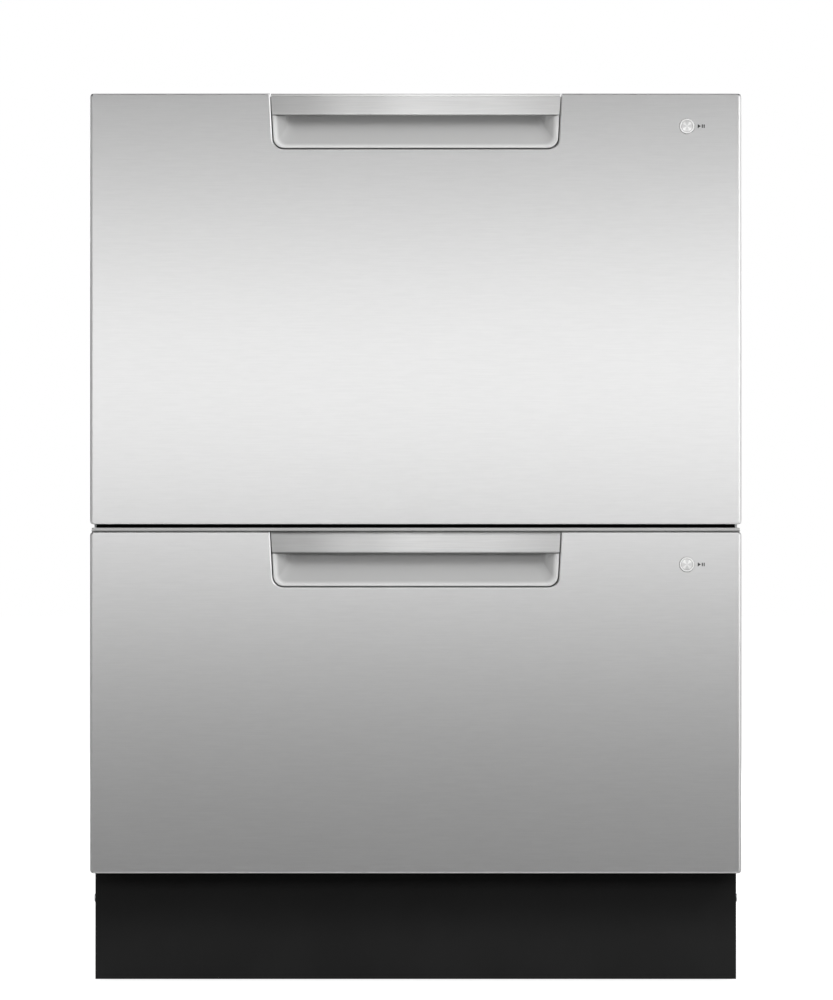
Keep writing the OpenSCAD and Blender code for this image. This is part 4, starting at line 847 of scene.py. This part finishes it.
@dataclass
class DrawerFront:
    """One drawer's steel front with its pocket, grip and start button.

    Attributes:
        deck: Which drawer.
        palette: The machine's finishes.
        side_roll: How the skin turns back at its sides: (inset, depth) in millimetres, from the outside in.
        top_roll: How it turns back at its top, in the same way.
        lip_roll: How it turns back round the handle opening, in the same way.
        hole_roll: How it turns in round the button: (gap, depth) in millimetres.
        corner: Radius of the skin's corners as seen from the front.
        sheet: Thickness of the sheet.
        top_return: Depth of the returns at the top and in the opening.
        cap_height: How far the cap reaches below the steel's top.
        cap_step: Height over which the side return steps back below the cap.
        button_x: Distance of the button from the middle.
        button_drop: Distance of the button below the steel's top.
        button_radius: Radius of the button's head.
        ink: Thickness of the printed mark.
        grip_gap: Gap between the opening's edge and the grip's ends.
        grip_depth: Depth of the grip, in millimetres.
        grip_lift: How far the grip's shaped face reaches above its solid, in millimetres.
        grip_drop: How far the grip's shaped face reaches below its solid, in millimetres.
        grip_room: Room that the pocket leaves below and behind the grip.
        pocket_gap: Gap between the opening's edge and the pocket's rim.
        pocket_front: How far the rim stands behind the front of the pocket's solid.
        scoop: Depth of the pocket, rise of its sloped floor and lean of its end walls.
        scoop_end: Distance from the middle past which the pocket's rim belongs to its end walls.
        upright: Share of the end walls' lean that they have at their top.
    """

    deck: Deck
    palette: Palette
    side_roll: Outline = ((0.0, 2.6), (0.15, 1.9), (0.42, 1.35), (2.3, 0.12), (2.55, 0.03), (2.8, 0.0))
    top_roll: Outline = ((0.0, 2.2), (0.05, 1.6), (0.12, 1.25), (0.72, 0.15), (0.82, 0.04), (0.95, 0.0))
    lip_roll: Outline = ((0.0, 1.1), (0.06, 0.85), (0.15, 0.7), (0.95, 0.12), (1.1, 0.03), (1.2, 0.0))
    hole_roll: Outline = ((0.45, 0.0), (0.3, 0.2), (0.25, 1.2))
    corner: float = 3.0 * MM
    sheet: float = 1.2 * MM
    top_return: float = 6 * MM
    cap_height: float = 14 * MM
    cap_step: float = 0.5 * MM
    button_x: float = 249.4 * MM
    button_drop: float = 30 * MM
    button_radius: float = 6.8 * MM
    ink: float = 0.06 * MM
    grip_gap: float = 0.9 * MM
    grip_depth: float = 8.0
    grip_lift: float = 0.7
    grip_drop: float = 1.3
    grip_room: float = 0.3 * MM
    pocket_gap: float = 0.95 * MM
    pocket_front: float = 0.5 * MM
    scoop: Point3 = (17 * MM, 30 * MM, 14 * MM)
    scoop_end: float = 0.05
    upright: float = 0.75

    def __post_init__(self) -> None:
        """Reads the front's place from the frame."""
        self.low, self.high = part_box(self.deck.node("front_panel"))
        self.face, self.back = self.low.y, self.high.y
        self.opening = HandleOpening(self.high.z)
        self.body = self.deck.node("drawer")

    def edge_loop(self, step: int, back: float = 0.0) -> list[Point3]:
        """Draws the skin's outline at one step of its rolled edges.

        Args:
            step: Step of the rolls, from 0 at their outside.
            back: Distance behind the steel face, where it is more than the rolls'.

        Returns:
            Points (x, y, z) clockwise from the upper right end of the opening, seen from the front.
        """
        (side, side_y), (top, top_y), (foot, foot_y), (lip, lip_y) = (
            (roll[step][0] * MM, roll[step][1] * MM)
            for roll in (self.side_roll, self.top_roll, FOOT_ROLLS[self.deck], self.lip_roll))
        above = side_y
        if back:
            side_y = foot_y = back
            above = top_y = lip_y = self.top_return
        x, z0, z1, r = self.high.x, self.low.z, self.high.z, self.corner
        turns = [(k / CORNER_STEPS, math.radians(90 * k / CORNER_STEPS)) for k in range(CORNER_STEPS + 1)]
        upper = [(x - r + (r - side) * math.sin(t), z1 - r + (r - top) * math.cos(t),
                  top_y + (above - top_y) * share) for share, t in turns]
        join = z1 - self.cap_height
        edge = [(x - side, join, above), (x - side, join - self.cap_step, side_y)]
        lower = [(x - r + (r - side) * math.cos(t), z0 + r - (r - foot) * math.sin(t),
                  side_y + (foot_y - side_y) * share) for share, t in turns]
        handle = [(hx, min(hz, z1 - top), lip_y) for hx, hz in self.opening.side(lip, z1 - top)]
        right = list(reversed(handle)) + upper + edge + lower
        left = [(-px, pz, d) for px, pz, d in reversed(right)]
        return [(px, self.face + d, pz) for px, pz, d in right + left]

    def skin(self) -> None:
        """Builds the folded steel skin with its opening and button hole."""
        bm = bmesh.new()
        loops = [ring(bm, self.edge_loop(0, self.back - self.face))]
        loops += [ring(bm, self.edge_loop(step)) for step in range(len(self.side_roll))]
        bridge(bm, loops)
        centre, sides = (self.button_x, self.high.z - self.button_drop), 16
        last = 360 * (sides - 1) / sides
        hole = [ring(bm, [(x, self.face + deep * MM, z)
                          for x, z in arc(centre, self.button_radius + gap * MM, 0, last, sides - 1)])
                for gap, deep in self.hole_roll]
        bridge(bm, hole)
        cap(bm, loops[-1], hole[0])
        skin = Piece(self.deck.node("steel_front"), self.body, "steel_skin",
                     (self.deck.node("front_panel"),), 50.0)
        wall = skin.finish(bm, self.palette).modifiers.new("sheet", "SOLIDIFY")
        wall.thickness, wall.offset = self.sheet, -1.0

    def pocket(self) -> None:
        """Builds the scooped finger pocket with its rounded rim, and cuts the grip's place out of it."""
        bm = bmesh.new()
        low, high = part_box(self.deck.node("handle_pocket"))
        front = low.y + self.pocket_front
        rolls = [(0.0, high.y - front, 0.0)] + [tuple(v * MM for v in row) for row in POCKET_RIM]
        loops = [ring(bm, [(x, front + deep, z)
                           for x, z in self.opening.outline(-self.pocket_gap - inset, high.z - drop)])
                 for inset, deep, drop in rolls]
        rim_width, rim_depth, rim_drop = rolls[-1]
        roof = high.z - rim_drop
        rim = self.opening.outline(-self.pocket_gap - rim_width, roof)
        sill = min(z for _, z in rim)
        depth, rise, side = self.scoop
        for deep, up in SCOOP_STEPS:
            points = []
            for x, z in rim:
                fall = (roof - z) / (roof - sill)
                swell = 1 - (1 - deep) ** 2
                at_end = abs(x) > self.scoop_end
                lean = side * swell * (self.upright + (1 - self.upright) * fall) if at_end else 0.0
                points.append((x - math.copysign(lean, x), front + rim_depth + depth * deep,
                               z + rise * up * fall))
            loops.append(ring(bm, points))
        bridge(bm, loops)
        cap(bm, loops[0])
        cap(bm, loops[-1])
        piece = Piece(self.deck.node("finger_pocket"), self.body, "pocket_moulding",
                      (self.deck.node("handle_pocket"),), 40.0)
        pocket = piece.finish(bm, self.palette)
        grip_low, grip_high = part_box(self.deck.node("handle_grip"))
        clear = 10 * MM
        carve(pocket, (-self.high.x, self.face - clear, grip_low.z - self.grip_drop * MM - self.grip_room),
              (self.high.x, grip_high.y + self.grip_room, high.z + clear))
        piece.shade(pocket.data)

    def grip(self) -> None:
        """Builds the brushed bar across the opening, its face tipped a little downwards."""
        low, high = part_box(self.deck.node("handle_grip"))
        top = high.z + self.grip_lift * MM
        tall = (top - low.z) / MM + self.grip_drop
        section = [(self.grip_depth, 0.0), *GRIP_CRESTS[self.deck],
                   *((deep, tall - rise) for deep, rise in GRIP_FOOT), (self.grip_depth, tall)]
        lean = math.tan(math.radians(self.opening.lean))
        bm = bmesh.new()
        ends = []
        for side in (-1, 1):
            points = []
            for deep, drop in section:
                z = top - drop * MM
                reach = self.opening.half - self.grip_gap - (self.high.z - z) * lean
                points.append((side * reach, low.y + deep * MM, z))
            ends.append(ring(bm, points))
        bridge(bm, ends)
        cap(bm, ends[0])
        cap(bm, ends[1])
        Piece(self.deck.node("grip_bar"), self.body, "steel_grip",
              (self.deck.node("handle_grip"),), 30.0).finish(bm, self.palette)

    def button(self) -> None:
        """Builds the spun start button, with a UV map whose middle is the button's."""
        low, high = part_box(self.deck.node("start_button"))
        z, r = self.high.z - self.button_drop, self.button_radius
        stem, length = BUTTON_HEAD[-1][0], (high.y - low.y) / MM
        profile = [(radius * MM, deep * MM) for radius, deep in (*BUTTON_HEAD, (stem, length), (0.0, length))]
        bm = bmesh.new()
        lathe(bm, profile, (self.button_x, low.y, z), (0, 1, 0), 64)
        chart = bm.loops.layers.uv.new("face")
        for corner in (loop for face in bm.faces for loop in face.loops):
            corner[chart].uv = ((corner.vert.co.x - self.button_x) / r, (corner.vert.co.z - z) / r)
        Piece(self.deck.node("spun_button"), self.deck.node("start"), "button_metal",
              (self.deck.node("start_button"),), 30.0).finish(bm, self.palette, weighted=False)

    def mark(self) -> None:
        """Adds the printed start and pause mark beside the button."""
        bm = bmesh.new()
        z = self.high.z - self.button_drop
        for shape in MARK_SHAPES:
            outline = [(self.button_x + dx * MM, z + dz * MM) for dx, dz in shape]
            prism_y(bm, outline, self.face - self.ink, self.face)
        Piece(self.deck.node("start_mark"), self.body, "mark_ink").finish(bm, self.palette, weighted=False)

    def build(self) -> None:
        """Builds the whole front."""
        for step in (self.skin, self.pocket, self.grip, self.button, self.mark):
            step()


# ---------------------------------------------------------------- carried-over solids


@dataclass(frozen=True)
class Dressing:
    """Which finish each CAD solid that keeps its own shape is dressed in."""

    palette: Palette

    def run(self) -> None:
        """Gives every CAD node the finish of its slot in the record."""
        slots = {row["node"]: row["material_slot"] for row in frame["record"]["subparts"]}
        for name, node in frame["nodes"].items():
            node.data.materials.clear()
            node.data.materials.append(self.palette[slots[name]])
        LOG.info("dressed %d solids", len(slots))


@dataclass(frozen=True)
class Softened:
    """A CAD solid's own form with its edges eased, as a press or a mould leaves them.

    Attributes:
        node: The solid's name.
        ease: Radius of the eased edges in metres.
        crease: Angle in degrees above which an edge is eased.
        flat: Angle in degrees below which two faces are one.
    """

    node: str
    ease: float
    crease: float = 40.0
    flat: float = 0.5

    def build(self, palette: Palette) -> None:
        """Makes the eased copy, which stands for the solid.

        Args:
            palette: Where the finish comes from.
        """
        record = frame["record"]
        slot = next(row["material_slot"] for row in record["subparts"] if row["node"] == self.node)
        body = next(name for name, nodes in record["behaviour"]["bodies"].items() if self.node in nodes)
        bm = bmesh.new()
        bm.from_mesh(frame["nodes"][self.node].data)
        bmesh.ops.remove_doubles(bm, verts=bm.verts, dist=WELD)
        bmesh.ops.dissolve_limit(bm, angle_limit=math.radians(self.flat), use_dissolve_boundaries=False,
                                 verts=bm.verts, edges=bm.edges, delimit={"NORMAL"})
        sharp = [edge for edge in bm.edges
                 if len(edge.link_faces) == 2 and edge.calc_face_angle(0.0) > math.radians(self.crease)]
        bmesh.ops.bevel(bm, geom=sharp, offset=self.ease, segments=2, affect="EDGES", profile=0.5,
                        material=-1, clamp_overlap=True)
        Piece(f"{self.node}_eased", body, slot, (self.node,), self.crease).finish(bm, palette)


# ---------------------------------------------------------------- studio


@dataclass(frozen=True)
class Lamp:
    """A soft rectangular lamp.

    Attributes:
        name: Name of the lamp.
        place: Its middle.
        target: The point it faces.
        size: Width and height.
        watts: Its power.
    """

    name: str
    place: Point3
    target: Point3
    size: Point2
    watts: float

    def build(self) -> None:
        """Adds the lamp to the scene."""
        data = bpy.data.lights.new(self.name, "AREA")
        data.shape = "RECTANGLE"
        data.size, data.size_y = self.size
        data.energy = self.watts
        lamp = bpy.data.objects.new(self.name, data)
        lamp.location = self.place
        aim = Vector(self.target) - Vector(self.place)
        lamp.rotation_euler = aim.to_track_quat("-Z", "Y").to_euler()
        lamp.visible_camera = False
        bpy.context.scene.collection.objects.link(lamp)


@dataclass(frozen=True)
class Studio:
    """Floor, backdrop, lamps and camera.

    Attributes:
        distance: Distance from the steel fronts to the camera.
        eye: Height of the camera.
        pixel: Size of one pixel on the steel fronts.
        rows: Height of the picture in pixels.
        across: How far the camera stands to the right of the middle.
        sensor: Size of the camera's sensor in millimetres.
        fill: Strength of the fill light on matt surfaces.
        gloss_fill: Strength of it in reflections.
        backdrop: Where reflections find the white backdrop behind the machine, as the Y of their heading.
        floor_reach: Radius of the floor.
        floor_tone: The floor's grey, as a matt surface and in reflections.
        floor_glow: What the camera sees added to that grey.
    """

    distance: float = 4.5
    eye: float = 0.4463
    pixel: float = 0.9194 * MM
    rows: int = 1000
    across: float = 0.0007
    sensor: float = 36.0
    fill: float = 0.36
    gloss_fill: float = 0.01
    backdrop: Point2 = (0.80, 0.95)
    floor_reach: float = 14.0
    floor_tone: Point2 = (0.45, 0.25)
    floor_glow: float = 0.85

    def camera(self) -> None:
        """Adds the camera, level and square to the fronts."""
        data = bpy.data.cameras.new("camera")
        data.sensor_width = self.sensor
        data.lens = self.sensor * self.distance / (self.rows * self.pixel)
        data.clip_end = 60.0
        camera = bpy.data.objects.new("camera", data)
        camera.location = (self.across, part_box("upper_front_panel")[0].y - self.distance, self.eye)
        camera.rotation_euler = (math.radians(90), 0.0, 0.0)
        bpy.context.scene.collection.objects.link(camera)
        bpy.context.scene.camera = camera

    def world(self) -> None:
        """Sets a backdrop that is white to the camera and behind the machine, and a plain fill light."""
        world = bpy.data.worlds.new("studio")
        world.use_nodes = True
        bpy.context.scene.world = world
        world.node_tree.nodes.clear()
        wiring = Wiring(world.node_tree)
        rays = wiring.add("LightPath").outputs
        shiny = wiring.maths("MAXIMUM", rays["Is Glossy Ray"], rays["Is Transmission Ray"])
        heading = wiring.add("SeparateXYZ", Vector=wiring.add("TexCoord").outputs["Generated"]).outputs["Y"]
        behind = wiring.maths("MULTIPLY", shiny, wiring.span(heading, 0.0, 1.0, self.backdrop))
        strength = wiring.maths("MULTIPLY_ADD", shiny, self.gloss_fill - self.fill, self.fill)
        mix = wiring.add("MixShader", Fac=wiring.maths("MAXIMUM", rays["Is Camera Ray"], behind))
        for slot, light in zip(mix.inputs[1:], (strength, 1.0)):
            wiring.feed(slot, wiring.add("Background", Color=(*WHITE, 1.0), Strength=light).outputs[0])
        wiring.add("OutputWorld", Surface=mix.outputs[0])

    def floor(self) -> None:
        """Adds a wide pale floor that keeps the machine's shadow."""
        bm = bmesh.new()
        bmesh.ops.create_circle(bm, cap_ends=True, radius=self.floor_reach, segments=96)
        mesh = bpy.data.meshes.new("floor")
        bm.to_mesh(mesh)
        bm.free()
        sketch = NodeSketch("floor_white", WHITE)
        sketch.put("Roughness", 0.9)
        sketch.put("Specular IOR Level", 0.0)
        rays = sketch.add("LightPath").outputs
        sketch.paint(sketch.span(rays["Is Glossy Ray"], *self.floor_tone))
        seen = sketch.maths("MULTIPLY", rays["Is Camera Ray"], self.floor_glow)
        glow = sketch.add("Emission", Strength=seen)
        both = sketch.add("AddShader")
        for slot, shader in zip(both.inputs, (sketch.shader, glow)):
            sketch.feed(slot, shader.outputs[0])
        sketch.feed(sketch.tree.nodes["Material Output"].inputs["Surface"], both.outputs[0])
        mesh.materials.append(sketch.material)
        floor = bpy.data.objects.new("floor", mesh)
        bpy.context.scene.collection.objects.link(floor)

    def lamps(self) -> None:
        """Adds the soft lamps: a band, a top lamp and a key in front, one at each side and two behind."""
        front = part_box("upper_front_panel")[0].y
        for lamp in (
            Lamp("front_band", (0, front - 1.5, 0.60), (0, front, 0.60), (6.0, 0.35), 15.0),
            Lamp("front_top", (0, -1.6, 2.4), (0, 0, 0.4), (2.4, 1.6), 15.7),
            Lamp("key", (1.6, -1.75, 1.72), (0, 0, 0.5), (0.6, 0.9), 15.0),
            Lamp("right_side", (2.7, -1.15, 0.8), (0, -0.1, 0.5), (0.9, 1.8), 10.5),
            Lamp("left_side", (-2.7, -1.15, 0.8), (0, -0.1, 0.5), (0.9, 1.8), 3.6),
            Lamp("left_rear", (-1.3, 2.8, 1.6), (0, 0.3, 0.4), (1.6, 1.6), 30.0),
            Lamp("rear", (1.0, 2.9, 1.5), (0, 0, 0.4), (2.0, 1.6), 30.0),
        ):
            lamp.build()

    def build(self) -> None:
        """Sets up the whole studio."""
        bpy.context.scene.view_settings.view_transform = "Standard"
        for step in (self.world, self.floor, self.lamps, self.camera):
            step()
        LOG.info("studio ready")


def main() -> None:
    """Builds the machine's pieces, then the studio."""
    logging.basicConfig(level=logging.INFO, format="%(name)s: %(message)s")
    palette = Palette()
    Dressing(palette).run()
    for deck in Deck:
        DrawerFront(deck, palette).build()
        for part, ease in DRAWER_EDGES.items():
            Softened(deck.node(part), ease * MM).build(palette)
    for node, ease in CHASSIS_EDGES.items():
        Softened(node, ease * MM).build(palette)
    Studio().build()


if __name__ == "__main__":
    main()
